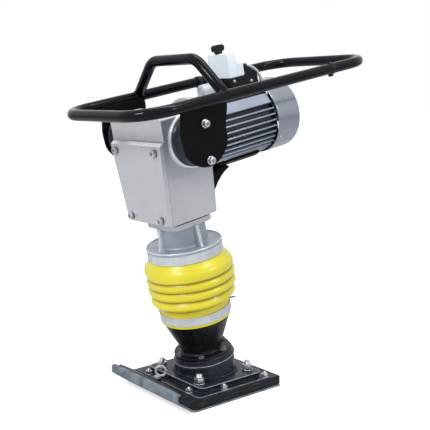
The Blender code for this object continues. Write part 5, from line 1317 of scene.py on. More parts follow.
@dataclass
class GuideCasting:
    """Silver guide casting between the bellows and the gearbox."""

    bore: float = 0.054
    outer: float = 0.060
    sleeve_low: float = 0.262
    disc_low: float = 0.4035
    disc_top: float = 0.4100
    disc_radius: float = 0.1002
    skirt_radius: float = 0.0945
    skirt_wall: float = 0.006
    skirt_low: float = 0.374
    neck_radius: float = 0.064
    rib_reach: tuple = (0.0835, 0.0780, 0.0710)
    rib_half: float = 0.0046
    rim_inset: float = 0.0014
    rim_bead: float = 0.0026
    flange_low: float = 0.4650
    flange_top: float = 0.4790
    flange_half: tuple = (0.0665, 0.0670, 0.026)
    flange_forward: float = 0.0025
    seam_share: float = 0.965
    seat: float = 0.4884

    def build(self) -> None:
        """Builds the casting as a turned body, its four ribs and the top flange."""
        skirt, inside = self.skirt_radius, self.skirt_radius - self.skirt_wall
        under, neck_top = self.disc_low - 0.006, self.flange_low + 0.004
        body = turned(eased([
            (self.bore, self.sleeve_low, 0.0005), (self.outer, self.sleeve_low, 0.001),
            (self.outer, under, 0.003), (inside, under, 0.003), (inside, self.skirt_low, 0.001),
            (skirt, self.skirt_low, 0.001), (skirt, self.disc_low, 0.0004),
            (self.disc_radius, self.disc_low, 0.0012), (self.disc_radius, self.disc_top, 0.0016),
            (self.neck_radius, self.disc_top, 0.007), (self.neck_radius, neck_top, 0),
            (self.bore, neck_top, 0),
        ])).leaned()
        publish("guide_body", body, GUIDE_SILVER, Body.UPPER, ("guide_tube",))
        root, foot, head = self.neck_radius - 0.004, self.disc_top - 0.002, self.flange_low + 0.002
        reach_foot, reach_bend, reach_head = self.rib_reach
        rib = eased([
            (root, foot, 0), (reach_foot, foot, 0), (reach_bend, self.disc_top + 0.006, 0.01),
            (reach_head, head, 0), (root, head, 0),
        ], 5)
        rib = prism(rib, -self.rib_half, self.rib_half).laid(Axis.U)
        ribs = joined([rib.spun(turn) for turn in (0, 90, 180, 270)]).leaned()
        # The ribs and the rim bead in the lighter paint: painted highlight on their edges
        publish("guide_ribs", ribs, CASTING_HIGHLIGHT, Body.UPPER, bevel=0.0014, segments=2)
        rim = polar(self.disc_radius - self.rim_inset, full_turn(144), self.disc_top - 0.0004)
        rim = carried(leaned(rim), self.rim_bead, UP, closed=True, sides=12)
        publish("guide_rim", rim, CASTING_HIGHLIGHT, Body.UPPER)
        outline = rounded_rectangle(*self.flange_half) - np.array([0, self.flange_forward])
        hole = polar(self.bore, np.arctan2(outline[:, 1], outline[:, 0]))[:, :2]
        flange = holed(outline, hole, self.flange_low, self.flange_top).leaned()
        publish("guide_flange", flange, SILVER, Body.UPPER, bevel=0.0026)
        # A black sheet set in between the flange and the casing: painted shade of the seam there
        seam_sheet = holed(outline * self.seam_share, hole, self.flange_top + 0.0001, self.seat)
        publish("guide_seam_shade", seam_sheet.leaned(), BLACK_RUBBER, Body.UPPER)


@dataclass
class Gearbox:
    """Tapered silver gearbox casing with its side bosses, motor flange, cover and screws."""

    low: float = 0.4885
    low_half: float = 0.0908
    shoulder: float = 0.7005
    shoulder_half: float = 0.1108
    top: float = 0.7565
    front: float = -0.085
    rear: float = 0.0565
    wall: float = 0.008
    edge: float = 0.004
    edge_draw: float = 0.12
    dome_share: float = 0.6
    rod_gap: float = 0.046
    cover_thickness: float = 0.0132
    cover_edge: float = 0.003
    cover_inset: tuple[float, float] = (0.0045, 0.0030)
    cover_drop: float = 0.0072
    ledge: tuple = ((0.0028, 0), (0.0126, 0.0068), (0.0120, 0.0078), (0.0028, 0.0015))
    motor_axis: float = MOTOR_AXIS
    spigot: tuple = (
        (0.072, 0.0505, 0), (0.0845, 0.0505, 0), (0.082, 0.0605, 0.003), (0.082, 0.072, 0.002),
        (0.100, 0.072, 0.003), (0.100, 0.085, 0.001), (0.072, 0.085, 0),
    )
    boss_radius: float = 0.0698
    boss_out: float = 0.118
    boss_depth: float = 0.013
    boss_land: float = 0.0050
    boss_place: tuple[float, float, float] = SIDE_MOUNT
    screw: Fastener = Fastener(0.0094, 0.0015, 0.0156, 0.0092, 0.0030, 0.0106, 0.0010)
    screws: tuple = (("top", 0.6780, 0.0240), ("bottom", 0.5060, 0.0270))
    seed: int = 5

    def half_at(self, a: float) -> float:
        """Half width of the tapered front at a height."""
        share = (a - self.low) / (self.shoulder - self.low)
        return self.low_half + (self.shoulder_half - self.low_half) * share

    def build(self) -> None:
        """Builds the casing, its fittings and its cover."""
        low, half, wide = self.low, self.low_half, self.shoulder_half
        gap, soft = self.rod_gap, self.edge
        outer = self.with_rod_gap(eased([
            (-half, low, 0.004), (half, low, 0.004), (wide, self.shoulder, 0.003),
            (wide, self.top, 0.006), (-wide, self.top, 0.006), (-wide, self.shoulder, 0.003),
        ], 5))
        sill, head = low + self.wall, self.shoulder - 0.006
        foot, ceiling = self.half_at(sill) - self.wall, self.half_at(head) - self.wall
        rise, dome = head + 0.002, ceiling * self.dome_share
        inner = self.with_rod_gap(eased([
            (-foot, sill, 0.004), (foot, sill, 0.004), (ceiling, head, 0.004),
            (dome, rise, 0.02), (-dome, rise, 0.02), (-ceiling, head, 0.004),
        ], 5))
        middle = np.array([0, (low + self.top) / 2])
        shrunk = middle + (outer - middle) * (1 - soft / self.edge_draw)
        rows = stacked([
            (inner, self.rear - self.wall), (inner, gap), (inner, -gap), (inner, self.front),
            (outer, self.front), (outer, -gap), (outer, gap), (outer, self.rear - soft),
            ((outer + shrunk) / 2, self.rear - soft * 0.3), (shrunk, self.rear),
        ])
        casing = self.floor_opened(grid(rows, caps=True)).placed(Axis.U)
        publish("gearbox_box", casing, SILVER, Body.UPPER, ("gearbox_casing",))
        self.build_fittings()
        self.build_cover()

    def with_rod_gap(self, outline: np.ndarray) -> np.ndarray:
        """Adds the rod opening's two sides to the floor, after the first fillet's five pieces."""
        level = outline[5, 1]
        return np.insert(outline, 6, [(-self.rod_gap, level), (self.rod_gap, level)], axis=0)

    def floor_opened(self, skin: Skin) -> Skin:
        """Takes the two floor faces over the piston rod away and joins their edges by four walls.

        Args:
            skin: the closed casing in local (x, a, u) points.

        Returns:
            The casing with a square opening for the rod in its floor.
        """
        at_side = np.abs(np.abs(skin.points[:, [0, 2]]) - self.rod_gap).max(1) < WELD
        at_corner = at_side & (skin.points[:, 1] < self.shoulder - 0.1)
        holes = [face for face in skin.faces if at_corner[face].all()]
        faces = [face for face in skin.faces if face not in holes]
        upper, lower = holes
        for first, second in zip(upper, upper[1:] + upper[:1]):
            edge = [
                min(lower, key=lambda i: np.abs(skin.points[i] - skin.points[k])[[0, 2]].sum())
                for k in (second, first)
            ]
            faces.append([first, second, *edge])
        return Skin(skin.points, faces)

    def build_fittings(self) -> None:
        """The motor spigot with its flange, and the round side bosses."""
        spigot = turned(eased(self.spigot, 5)).placed(Axis.U, (0, 0, self.motor_axis))
        publish("gearbox_flange", spigot, SILVER, Body.UPPER)
        out, radius = self.boss_out, self.boss_radius
        root = out - self.boss_depth
        profile = [
            (0, root, 0), (radius + 0.0012, root, 0), (radius, out - self.boss_land, 0.002),
            (radius, out, 0.0018), (0, out, 0),
        ]
        boss = turned(eased(profile, 6, closed=False), ring=False)
        # The bosses in the lighter silver: painted highlight on their rims
        for side, sign in SIDES:
            skin = boss.flipped(sign).placed(Axis.X, self.boss_place)
            publish(f"gearbox_boss_{side}", skin, SILVER_HIGHLIGHT, Body.UPPER)

    def build_cover(self) -> None:
        """Front cover with rounded edges and four screws."""
        rear = self.front - 0.00002
        front = rear - self.cover_thickness
        half, wide = self.low_half, self.shoulder_half
        full = [(-half, self.low), (half, self.low), (wide, self.shoulder), (-wide, self.shoulder)]
        half, wide = half - self.cover_inset[0], wide - self.cover_inset[1]
        low, high = self.low + self.cover_edge, self.shoulder - self.cover_drop
        face = [(-half, low), (half, low), (wide, high), (-wide, high)]
        full, face = filleted(full, 0.003, 5), filleted(face, 0.004, 5)
        rows = [(full, rear), (full, rear - self.cover_edge), (face, front)]
        cover = grid(stacked(rows), caps=True).placed(Axis.U)
        publish("gearbox_front", cover, SILVER, Body.UPPER, ("gearbox_cover",), bevel=0.0016)
        # The cover's top strip in the lighter silver: painted highlight where light from above
        # falls on it
        top = self.shoulder + GAP
        strip = [(rear - out, top - drop) for out, drop in self.ledge]
        ledge = prism(strip, -wide + 0.0005, wide - 0.0005).placed(Axis.X)
        publish("gearbox_ledge", ledge, SILVER_HIGHLIGHT, Body.UPPER)
        turns = iter(np.random.default_rng(self.seed).uniform(0, HEX_TURN, 4))
        for level, a, inset in self.screws:
            for side, sign in SIDES:
                node = f"cover_screw_{side}_{level}"
                seat = (sign * (self.half_at(a) - inset), front, a)
                skin = self.screw.skin(next(turns)).flipped(-1).placed(Axis.U, seat)
                publish(f"{node}_head", skin, ZINC, Body.UPPER, (node,))


@dataclass
class ElectricMotor:
    """Finned electric motor: shields, frame with pads and lug, and the fan cover."""

    axis: float = MOTOR_AXIS
    front_shield: tuple = (
        (0.016, 0.0853, 0), (0.098, 0.0853, 0.001), (0.098, 0.0953, 0.002), (0.094, 0.0993, 0.002),
        (0.0815, 0.1033, 0.003), (0.0815, 0.112, 0.001), (0.016, 0.112, 0),
    )
    rear_shield: tuple = (
        (0.015, 0.294, 0), (0.0557, 0.294, 0), (0.0557, 0.3023, 0), (0.0805, 0.3023, 0),
        (0.0805, 0.308, 0.002), (0.037, 0.310, 0), (0.0313, 0.310, 0.001), (0.0313, 0.298, 0),
        (0.015, 0.298, 0),
    )
    body_radius: float = 0.0815
    fin_radius: float = 0.0931
    fin_count: int = 36
    fin_start: float = 8.0
    fin_half: float = 0.0018
    fin_flare: float = 0.0009
    fin_edge: float = 0.0010
    fin_roots: float = 0.0016
    fin_tips: float = 0.0013
    bore: float = 0.056
    front: float = 0.1123
    rear: float = 0.302
    pad_angles: tuple = (38.0, 142.0)
    pad_half: float = 0.0155
    pad_face: float = 0.0905
    pad_tips: float = 0.0018
    pad_clear: float = 12.5
    lug_half: float = 0.0171
    lug_foot: float = 0.8
    lug_top: float = 0.7985
    lug_ends: tuple[float, float] = (0.134, 0.196)
    ring_radius: float = 0.0108
    ring_wire: float = 0.0017
    cover_radius: float = COWL_RADIUS
    cover_steps: tuple = (0.3045, 0.309, 0.35)
    cover_rear: float = 0.392
    cover_rings: tuple = (
        0.080, 0.0745, 0.066, 0.056, 0.046, 0.037, 0.0294, 0.020, 0.010, 0.0,
    )
    cover_edge: float = 0.014
    cover_wall: float = 0.002
    cover_screw: Fastener = Fastener(0.0036, 0.0006, 0.0058, 0.0022, 0.0012, 0.0026, 0.0006)
    cover_screw_u: float = 0.3165
    slot_count: int = 12
    slot_half: float = 0.003
    slot_span: tuple = (0.0294, 0.0745)

    def build(self) -> None:
        """Builds the motor's visible pieces."""
        center = (0, 0, self.axis)
        shield = turned(eased(self.front_shield, 5)).placed(Axis.U, center)
        publish("motor_shield_front", shield, MOTOR_SILVER, Body.UPPER, ("motor_front_shield",))
        # The rear shield is painted black: painted shade in the gap between the frame and the fan
        # cover
        shield = turned(eased(self.rear_shield, 4)).placed(Axis.U, center)
        publish("motor_shield_rear", shield, PLATE_BLACK, Body.UPPER, ("motor_rear_shield",))
        finned = self.frame_skin().placed(Axis.U, center)
        publish("motor_frame", finned, MOTOR_SILVER, Body.UPPER, ("motor_stator",))
        self.build_lug()
        self.build_fan_cover()

    def section(self) -> np.ndarray:
        """The frame's outline: round-tipped fins, and a flat pad on each shoulder.

        Returns:
            The outline round the motor's axis as (x, q).
        """
        body, fins = self.body_radius, []
        tip, root = self.fin_half / self.fin_radius, (self.fin_half + self.fin_flare) / body
        for index in range(self.fin_count):
            turn = 360 * index / self.fin_count + self.fin_start
            if min(abs(turn - pad) for pad in self.pad_angles) >= self.pad_clear:
                fins.append((turn, root, tip, self.fin_radius, self.fin_tips))
        root, tip = math.asin(self.pad_half / body), math.atan2(self.pad_half, self.pad_face)
        reach = math.hypot(self.pad_half, self.pad_face)
        fins += [(turn, root, tip, reach, self.pad_tips) for turn in self.pad_angles]
        corners = []
        for turn, root, tip, reach, rounding in fins:
            t = math.radians(turn)
            corners += [
                (t - root, body, self.fin_roots), (t - tip, reach, rounding),
                (t + tip, reach, rounding), (t + root, body, self.fin_roots),
            ]
        corners = np.array(sorted(corners))
        return filleted(polar(corners[:, 1], corners[:, 0])[:, :2], corners[:, 2], 4)

    def frame_skin(self) -> Skin:
        """The section carried from front to rear, drawn in a little at both ends, and bored.

        Returns:
            The frame in (x, q, u), with painted shade at the roots between its fins.
        """
        outline = self.section()
        angle, reach = np.arctan2(outline[:, 1], outline[:, 0]), np.hypot(*outline.T)
        soft, bore = self.fin_edge, self.bore + 0 * reach
        rows = [
            (reach - soft, self.front), (reach, self.front + soft), (reach, self.rear - soft),
            (reach - soft, self.rear), (bore, self.rear), (bore, self.front),
        ]
        skin = grid(np.stack([polar(r, angle, u) for r, u in rows]), ring=True)
        # painted shade, darker towards the fins' roots
        root_shade = np.clip((self.fin_radius - soft - reach) / 0.0070, 0, 1)
        skin.cavity = np.concatenate([root_shade] * 4 + [0 * root_shade] * 2)
        return skin

    def build_lug(self) -> None:
        """The round-topped lug on the frame with a lifting ring in its front end."""
        half, middle = self.lug_half, self.lug_top - self.lug_half
        arc = polar(half, np.linspace(0, math.pi, 33))[:, :2] + [0, middle]
        foot = self.axis + self.body_radius * self.lug_foot
        lug = prism(np.vstack([arc, [(-half, foot), (half, foot)]]), *self.lug_ends)
        publish("motor_lug", lug.placed(Axis.U), CAST_GREY, Body.UPPER, bevel=0.0022)
        path = polar(self.ring_radius, full_turn(48))[:, [0, 2, 1]]
        path = path + [0, self.lug_ends[0], middle]
        ring = carried(path, self.ring_wire, BACK, closed=True, sides=12)
        publish("motor_lug_ring", ring.leaned(), CAST_GREY, Body.UPPER)

    def build_fan_cover(self) -> None:
        """A pressed skin, its end open at the slots, thickened inwards.

        Rows follow the line from the front rim to the middle of the end. In each of twelve
        sectors two columns keep to the slot's straight sides, at asin(half width / radius), and
        the others share out the rest; the cells of the slots are left out.
        """
        outer, rear, edge = self.cover_radius, self.cover_rear, self.cover_edge
        inner_slot, outer_slot = self.slot_span
        bend = polar(edge, np.radians(np.linspace(0, 90, 11)))[:, :2] + [outer - edge, rear - edge]
        line = [(outer, u) for u in self.cover_steps] + [*bend]
        line += [(r, rear) for r in self.cover_rings]
        r, u = np.array(line).T
        half = np.arcsin(self.slot_half / np.clip(r, inner_slot, outer_slot))[:, None]
        sector, fill = 2 * math.pi / self.slot_count, 7
        share = np.linspace(0, 1, fill + 1)[None, :-1]
        local = np.concatenate([-half, half + share * (sector - 2 * half)], 1)
        turns = np.arange(self.slot_count) * sector
        angle = (turns[None, :, None] + local[:, None, :]).reshape(len(r), -1)
        skin = grid(polar(r[:, None], angle, u[:, None]))
        row, column = np.divmod(np.arange(len(skin.faces)), angle.shape[1])
        first, last = np.argmax(r == outer_slot), len(r) - 1 - np.argmax(r[::-1] == inner_slot)
        open_cell = (column % (fill + 1) == 0) & (row >= first) & (row < last)
        skin.faces = [face for face, gone in zip(skin.faces, open_cell) if not gone]
        skin = skin.placed(Axis.U, (0, 0, self.axis))
        piece = publish("fan_cowl", skin, COWL_SILVER, Body.UPPER, ("fan_cover",))
        wall = piece.modifiers.new("Wall", "SOLIDIFY")
        wall.thickness = self.cover_wall
        wall.offset = -1.0
        for index, turn in enumerate((-33.0, 213.0)):
            skin = self.cover_screw.skin(20.0 * index)
            skin.points[:, 2] += self.cover_radius - 0.0004
            c, s = math.cos(math.radians(turn)), math.sin(math.radians(turn))
            turned_out = skin.points @ np.array([[-s, 0, c], [0, 1.0, 0], [c, 0, s]])
            skin = Skin(turned_out + [0, self.cover_screw_u, self.axis], skin.faces).leaned()
            publish(f"fan_cowl_screw_{index}", skin, ZINC, Body.UPPER)


@dataclass
class MotorSupport:
    """Black cradle under the frame, with the web that carries it from the casing."""

    axis: float = MOTOR_AXIS
    inner: float = 0.0934
    outer: float = 0.1011
    half_angle: float = 34.0
    front: float = 0.1123
    rear: float = 0.2585
    web_half: float = 0.045
    web_front: float = 0.0568
    web_clear: float = 0.1006
    web_seat: float = 0.0954
    web_edge: tuple = (
        (0.0568, 0.1800, 0), (0.0900, 0.1540, 0.02), (0.1094, 0.1300, 0.03),
        (0.1263, 0.1153, 0.03), (0.1384, 0.1070, 0.03), (0.1530, 0.1015, 0.003),
    )

    def build(self) -> None:
        """Builds the cradle and the web."""
        t = np.radians(np.linspace(-self.half_angle, self.half_angle, 41))
        outer, inner = (
            np.column_stack([r * np.sin(t), self.axis - r * np.cos(t)])
            for r in (self.outer, self.inner)
        )
        cradle = prism(np.vstack([outer, inner[::-1]]), self.front, self.rear).placed(Axis.U)
        publish(
            "motor_cradle", cradle, PLATE_BLACK, Body.UPPER, ("motor_support",),
            bevel=0.0012, segments=2,
        )
        under = [(u, self.axis - drop, rounding) for u, drop, rounding in self.web_edge]
        clear, seat = self.axis - self.web_clear, self.axis - self.web_seat
        profile = under + [
            (under[-1][0], seat, 0), (self.front, seat, 0), (self.front, clear, 0),
            (self.web_front, clear, 0),
        ]
        web = prism(eased(profile, 4), -self.web_half, self.web_half).placed(Axis.X)
        publish("motor_web", web, PLATE_BLACK, Body.UPPER, bevel=0.0012, segments=2)


@dataclass
class SwitchGear:
    """Black terminal box, white switch housing with its lever, and the grey lead."""

    axis: float = MOTOR_AXIS
    half: float = 0.045
    front: float = 0.206
    rear: float = 0.2985
    low_top: float = 0.802
    box_top: float = 0.8335
    box_fall: float = 0.0285
    saddle: float = 0.0934
    box_screw: Fastener = Fastener(0.0042, 0.0008, 0.0066, 0.0024, 0.0014, 0.0030, 0.0006)
    box_screws: tuple = ((0.2140, 0.7935), (0.2735, 0.7845))
    switch_front: float = 0.203
    switch_rear: float = 0.2545
    step: float = 0.233
    step_top: float = 0.8385
    shoulder: float = 0.8420
    switch_top: float = 0.867
    taper: float = 0.005
    knob_u: float = 0.2115
    lever: tuple[float, float] = (0.018, 0.0180)
    lever_bend: float = 0.0080
    lever_half: float = 0.0075
    lever_lift: float = 0.0053
    stem_radius: float = 0.0110
    cable_x: float = 0.030
    cable_radius: float = 0.0040
    cable: tuple = (
        (0.2640, 0.8262), (0.2760, 0.8250), (0.2890, 0.8200), (0.3023, 0.8120),
        (0.3135, 0.7995), (0.3200, 0.7860), (0.3222, 0.7790),
    )
    fan_cover: float = COWL_RADIUS
    gland_place: tuple[float, float] = (0.2710, 0.8256)
    gland_radius: float = 0.0056
    boot_radius: float = 0.0065

    def build(self) -> None:
        """Builds the boxes, the lever and the lead."""
        self.build_terminal_box()
        self.build_switch()
        self.build_lever()
        self.build_cable()

    def build_terminal_box(self) -> None:
        """The low box and the taller one behind it, with a sloped top, its screws and a gland."""
        x = np.linspace(self.half, -self.half, 17)
        arc = np.column_stack([x, self.axis + np.sqrt(self.saddle**2 - x**2)])
        low, tower = (
            prism(np.vstack([arc, [(-self.half, top), (self.half, top)]]), begin, end).laid(Axis.U)
            for begin, end, top in (
                (self.front, self.switch_rear + GAP, self.low_top),
                (self.switch_rear + 0.0002, self.rear, self.box_top),
            )
        )
        back = (tower.points[:, 1] > self.rear - 0.001) & (tower.points[:, 2] > self.low_top)
        tower.points[back, 2] -= self.box_fall
        box = (low + tower).leaned()
        publish("terminal_housing", box, BLACK_PLASTIC, Body.UPPER, ("terminal_box",), bevel=0.0025)
        for index, (u, a) in enumerate(self.box_screws):
            screw = self.box_screw.skin(25.0 * index).placed(Axis.X, (self.half - GAP, u, a))
            publish(f"terminal_screw_{index}", screw, ZINC, Body.UPPER)
        gland = disc(self.gland_radius, -0.004, 0.003, 0.0010, 40)
        gland = gland.placed(Axis.U, (self.cable_x, *self.gland_place))
        publish("cable_gland", gland, BLACK_PLASTIC, Body.UPPER)

    def build_switch(self) -> None:
        """The white column, tapered over its shoulder, with a step block behind it."""
        base, taper = self.low_top + GAP, self.taper
        middle, reach = (self.switch_front + self.step) / 2, (self.step - self.switch_front) / 2
        rows = [
            (rounded_rectangle(self.half - inset, reach - 0.4 * inset, 0.005) + [0, middle], level)
            for level, inset in ((base, 0), (self.shoulder, 0), (self.switch_top, taper))
        ]
        column = grid(stacked(rows), caps=True)
        middle = (self.step + self.switch_rear) / 2
        outline = rounded_rectangle(self.half - 0.001, middle - self.step + 0.004, 0.003)
        block = prism(outline + [0, middle - 0.004], base, self.step_top)
        switch = (column + block).leaned()
        publish(
            "switch_housing", switch, WHITE_PLASTIC, Body.UPPER, ("switch_box",),
            bevel=0.0028, segments=4,
        )

    def build_lever(self) -> None:
        """The switch's round-topped lever on its stem."""
        half, height = self.lever
        corners = [(-half, 0.0), (half, 0.0), (half, height), (-half, height)]
        outline = filleted(corners, self.lever_bend, 8)
        outline = outline + [self.knob_u, self.switch_top + self.lever_lift]
        lever = prism(outline, -self.lever_half, self.lever_half).laid(Axis.X)
        stem = disc(self.stem_radius, self.switch_top + GAP, self.switch_top + 0.0083, 0.002, 48)
        knob = (lever + stem.laid(Axis.A, (0, self.knob_u, 0))).leaned()
        publish("switch_lever", knob, BLACK_PLASTIC, Body.KNOB, ("switch_knob",), bevel=0.0020)

    def build_cable(self) -> None:
        """The lead: a smooth line from the gland over the box's edge to the fan cover."""
        end_u = self.cable[-1][0]
        end_a = self.axis + math.sqrt(self.fan_cover**2 - self.cable_x**2) + GAP
        line, _ = smooth_through([*self.cable, (end_u, end_a)], 48)
        path = np.column_stack([np.full(len(line), self.cable_x), line])
        lead = carried(path, self.cable_radius, ACROSS, sides=24).leaned()
        publish("motor_lead", lead, CABLE_GREY, Body.UPPER, ("motor_cable",))
        boot = disc(self.boot_radius, end_a - 0.0015, end_a + 0.004, 0.002, 40)
        boot = boot.placed(Axis.A, (self.cable_x, end_u, 0))
        publish("lead_boot", boot, BLACK_PLASTIC, Body.UPPER)


@dataclass
class HandleFrame:
    """Tube loop, lifting hoop, bracket plates with bolts, and the rubber buffers."""

    tube: float = 0.0139
    half_width: float = 0.18665
    front: float = -0.1798
    rear: float = 0.5938
    level: float = 0.7845
    corner: float = 0.085
    hoop_u: float = 0.062
    hoop_half: float = 0.092
    hoop_top: float = 0.876
    hoop_bend: float = 0.056
    hoop_inset: float = 0.006
    hoop_foot: float = 0.7
    hoop_weld: tuple = (0.0019, 0.0003, 14)
    bracket_in: float = 0.1676
    bracket_out: float = 0.1756
    bracket_drop: float = 0.004
    bracket_top: tuple[float, float] = (-0.0655, 0.0700)
    bracket_edge: tuple = (
        (-0.0775, 0.716, 0.05), (-0.0745, 0.668, 0.05), (-0.048, 0.638, 0.06),
        (-0.010, 0.6285, 0.08), (0.032, 0.640, 0.06), (0.0575, 0.672, 0.05),
        (0.0575, 0.716, 0.04), (0.0700, 0.756, 0.03),
    )
    bracket_weld: tuple = (0.0016, 0.0003, 900)
    weld_ends: tuple[float, float] = (-0.062, 0.064)
    weld_lift: float = 0.0004
    bolt: Fastener = Fastener(0.0110, 0.002, 0.016, 0.0078, 0.0042, 0.0105, 0.0012)
    bolt_u: float = -0.005
    bolts: tuple = (("upper", 0.732), ("lower", 0.643))
    buffer_place: tuple[float, float, float] = SIDE_MOUNT
    buffer_in: float = 0.1183
    buffer_out: float = 0.1673
    buffer_radius: float = 0.066
    buffer_waist: float = 0.0022
    buffer_groove: tuple[float, float] = (0.005, 0.009)
    tie_rise: float = 0.0024
    ties: tuple = (("cable_tie", 1, 0.4300, 0.0120), ("rail_clip", -1, 0.273, 0.0130))
    tie_lock: tuple = (0.0050, 0.0040, 0.001)
    tie_lock_half: float = 0.0045
    tie_lock_out: float = 0.0165

    def build(self) -> None:
        """Builds the frame."""
        w = self.half_width
        corners = [(w, self.front, 0), (w, self.rear, 0), (-w, self.rear, 0), (-w, self.front, 0)]
        path = filleted(corners, self.corner, 28) + np.array([0, 0, self.level])
        loop = carried(path, self.tube, UP, closed=True, sides=40).leaned()
        publish("handle_tube", loop, GLOSS_BLACK, Body.HANDLE, ("handle_loop",))
        self.build_hoop()
        for side, sign in SIDES:
            self.build_bracket(side, sign)
            self.build_buffer(side, sign)
        self.build_ties()

    def build_hoop(self) -> None:
        """The hoop with its feet in the rails and a weld bead round each foot."""
        w, top, u = self.half_width, self.hoop_half, self.hoop_u
        corners = [
            (w, u, self.level), (top, u, self.hoop_top), (-top, u, self.hoop_top),
            (-w, u, self.level),
        ]
        path = filleted(corners, self.hoop_bend, 20, False)
        lift = (path[1] - path[0]) / np.linalg.norm(path[1] - path[0])
        near, far = (lift * [sign, 1, 1] * self.hoop_inset for _, sign in SIDES)
        path = np.vstack([path[0], path[0] + near, path[1:-1], path[-1] + far, path[-1]])
        radius = np.full(len(path), self.tube)
        radius[[0, -1]] *= self.hoop_foot
        hoop = carried(path, radius, BACK, sides=40).leaned()
        publish("hoop_tube", hoop, GLOSS_BLACK, Body.HANDLE, ("lifting_hoop",))
        t, back = full_turn(160), np.array([0, 1.0, 0])
        for side, sign in SIDES:
            up = lift * np.array([sign, 1, 1])
            along = self.tube * np.abs(np.sin(t)) + 0.0002
            across = np.cos(t)[:, None] * np.cross(up, back) + np.sin(t)[:, None] * back
            foot = np.array([sign * w, u, self.level])
            path = foot + along[:, None] * up + self.tube * across
            ripple = rippled(t, *self.hoop_weld)
            bead = carried(path, ripple, tuple(up), closed=True, sides=10).leaned()
            publish(f"hoop_weld_{side}", bead, GLOSS_BLACK, Body.HANDLE)

    def build_bracket(self, side: str, sign: int) -> None:
        """A bracket plate: round lower end, flared top that meets the rail, and its two bolts.

        Args:
            side: near or far.
            sign: 1 on the near side, -1 on the far side.
        """
        top = self.level - self.bracket_drop
        front, rear = self.bracket_top
        outline = eased([(front, top, 0), *self.bracket_edge, (rear, top, 0)], 8)
        low_x, high_x = sorted((sign * self.bracket_in, sign * self.bracket_out))
        plate = prism(outline, low_x, high_x).placed(Axis.X)
        name, node = f"bracket_plate_{side}", f"bracket_{side}"
        publish(name, plate, PLATE_BLACK, Body.HANDLE, (node,), bevel=0.0012)
        for index, (level, a) in enumerate(self.bolts):
            node = f"bracket_bolt_{side}_{level}"
            seat = (sign * (self.bracket_out + GAP / 2), self.bolt_u, a)
            skin = self.bolt.skin(14.0 + 27.0 * index).flipped(sign).placed(Axis.X, seat)
            publish(f"{node}_nut", skin, ZINC, Body.HANDLE, (node,))
        u, lift = np.linspace(*self.weld_ends, 200), self.weld_lift
        drop = math.sqrt(self.tube**2 - (self.half_width - self.bracket_out - lift) ** 2)
        path = np.column_stack([
            0 * u + sign * (self.bracket_out + lift), u, 0 * u + self.level - drop - lift,
        ])
        bead = carried(path, rippled(u, *self.bracket_weld), UP, sides=10).leaned()
        publish(f"bracket_weld_{side}", bead, GLOSS_BLACK, Body.HANDLE)

    def build_buffer(self, side: str, sign: int) -> None:
        """A rubber buffer: a short round block with a shallow waist.

        Args:
            side: near or far.
            sign: 1 on the near side, -1 on the far side.
        """
        low, high, r = self.buffer_in, self.buffer_out, self.buffer_radius
        waist, (rim, groove) = r - self.buffer_waist, self.buffer_groove
        profile = [
            (0, low, 0), (r, low, 0.0012), (r, low + rim, 0.002), (waist, low + groove, 0.004),
            (waist, high - groove, 0.004), (r, high - rim, 0.002), (r, high, 0.0012), (0, high, 0),
        ]
        skin = turned(eased(profile, 5, closed=False), ring=False).flipped(sign)
        skin = skin.placed(Axis.X, self.buffer_place)
        publish(f"buffer_{side}", skin, BLACK_RUBBER, Body.UPPER, (f"rubber_buffer_{side}",))

    def build_ties(self) -> None:
        """A cable tie on the near rail and a clip on the far rail, each set in on its outside."""
        low, high = self.tube - 0.001, self.tube + self.tie_rise
        lock = prism(rounded_rectangle(*self.tie_lock), -self.tie_lock_half, self.tie_lock_half)
        lock = lock.laid(Axis.A, (0, -self.tie_lock_out, 0))
        for name, sign, u, width in self.ties:
            half = width / 2
            corners = [(low, -half), (high, -half), (high, half), (low, half)]
            strap = turned(filleted(corners, 0.0005, 3), steps=64)
            center = (sign * (self.half_width - self.tie_rise), u, self.level)
            publish(name, (strap + lock).placed(Axis.U, center), BLACK_PLASTIC, Body.HANDLE)


class Internals:
    """The CAD nodes that stay as they are, given their real surfaces."""

    STEEL = (
        "spring_cylinder", "lower_spring", "upper_spring", "piston_rod", "wrist_pin",
        "connecting_rod", "crankshaft", "crank_gear", "rotor_shaft", "drive_pinion",
        "motor_bearing_front", "motor_bearing_rear", "crank_bearing",
    )
    BRONZE_NODES = ("gland_nut", "guide_bush")
    MOULDED = ("cooling_fan",)

    def dress(self) -> None:
        """Puts a finish in the material slot of each node."""
        dressed = (self.STEEL, MACHINED), (self.BRONZE_NODES, BRONZE), (self.MOULDED, BLACK_PLASTIC)
        for names, finish in dressed:
            for name in names:
                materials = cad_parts[name].data.materials
                if materials:
                    materials[0] = PAINT.material(finish)
                else:
                    materials.append(PAINT.material(finish))
                LOG.info("%s: CAD mesh, %s", name, finish.name)


@dataclass(frozen=True)
class Lamp:
    """A soft area lamp."""

    name: str
    place: tuple[float, float, float]
    aim: tuple[float, float, float]
    size: tuple[float, float]
    power: float
    color: tuple[float, float, float] = (1.0, 1.0, 1.0)


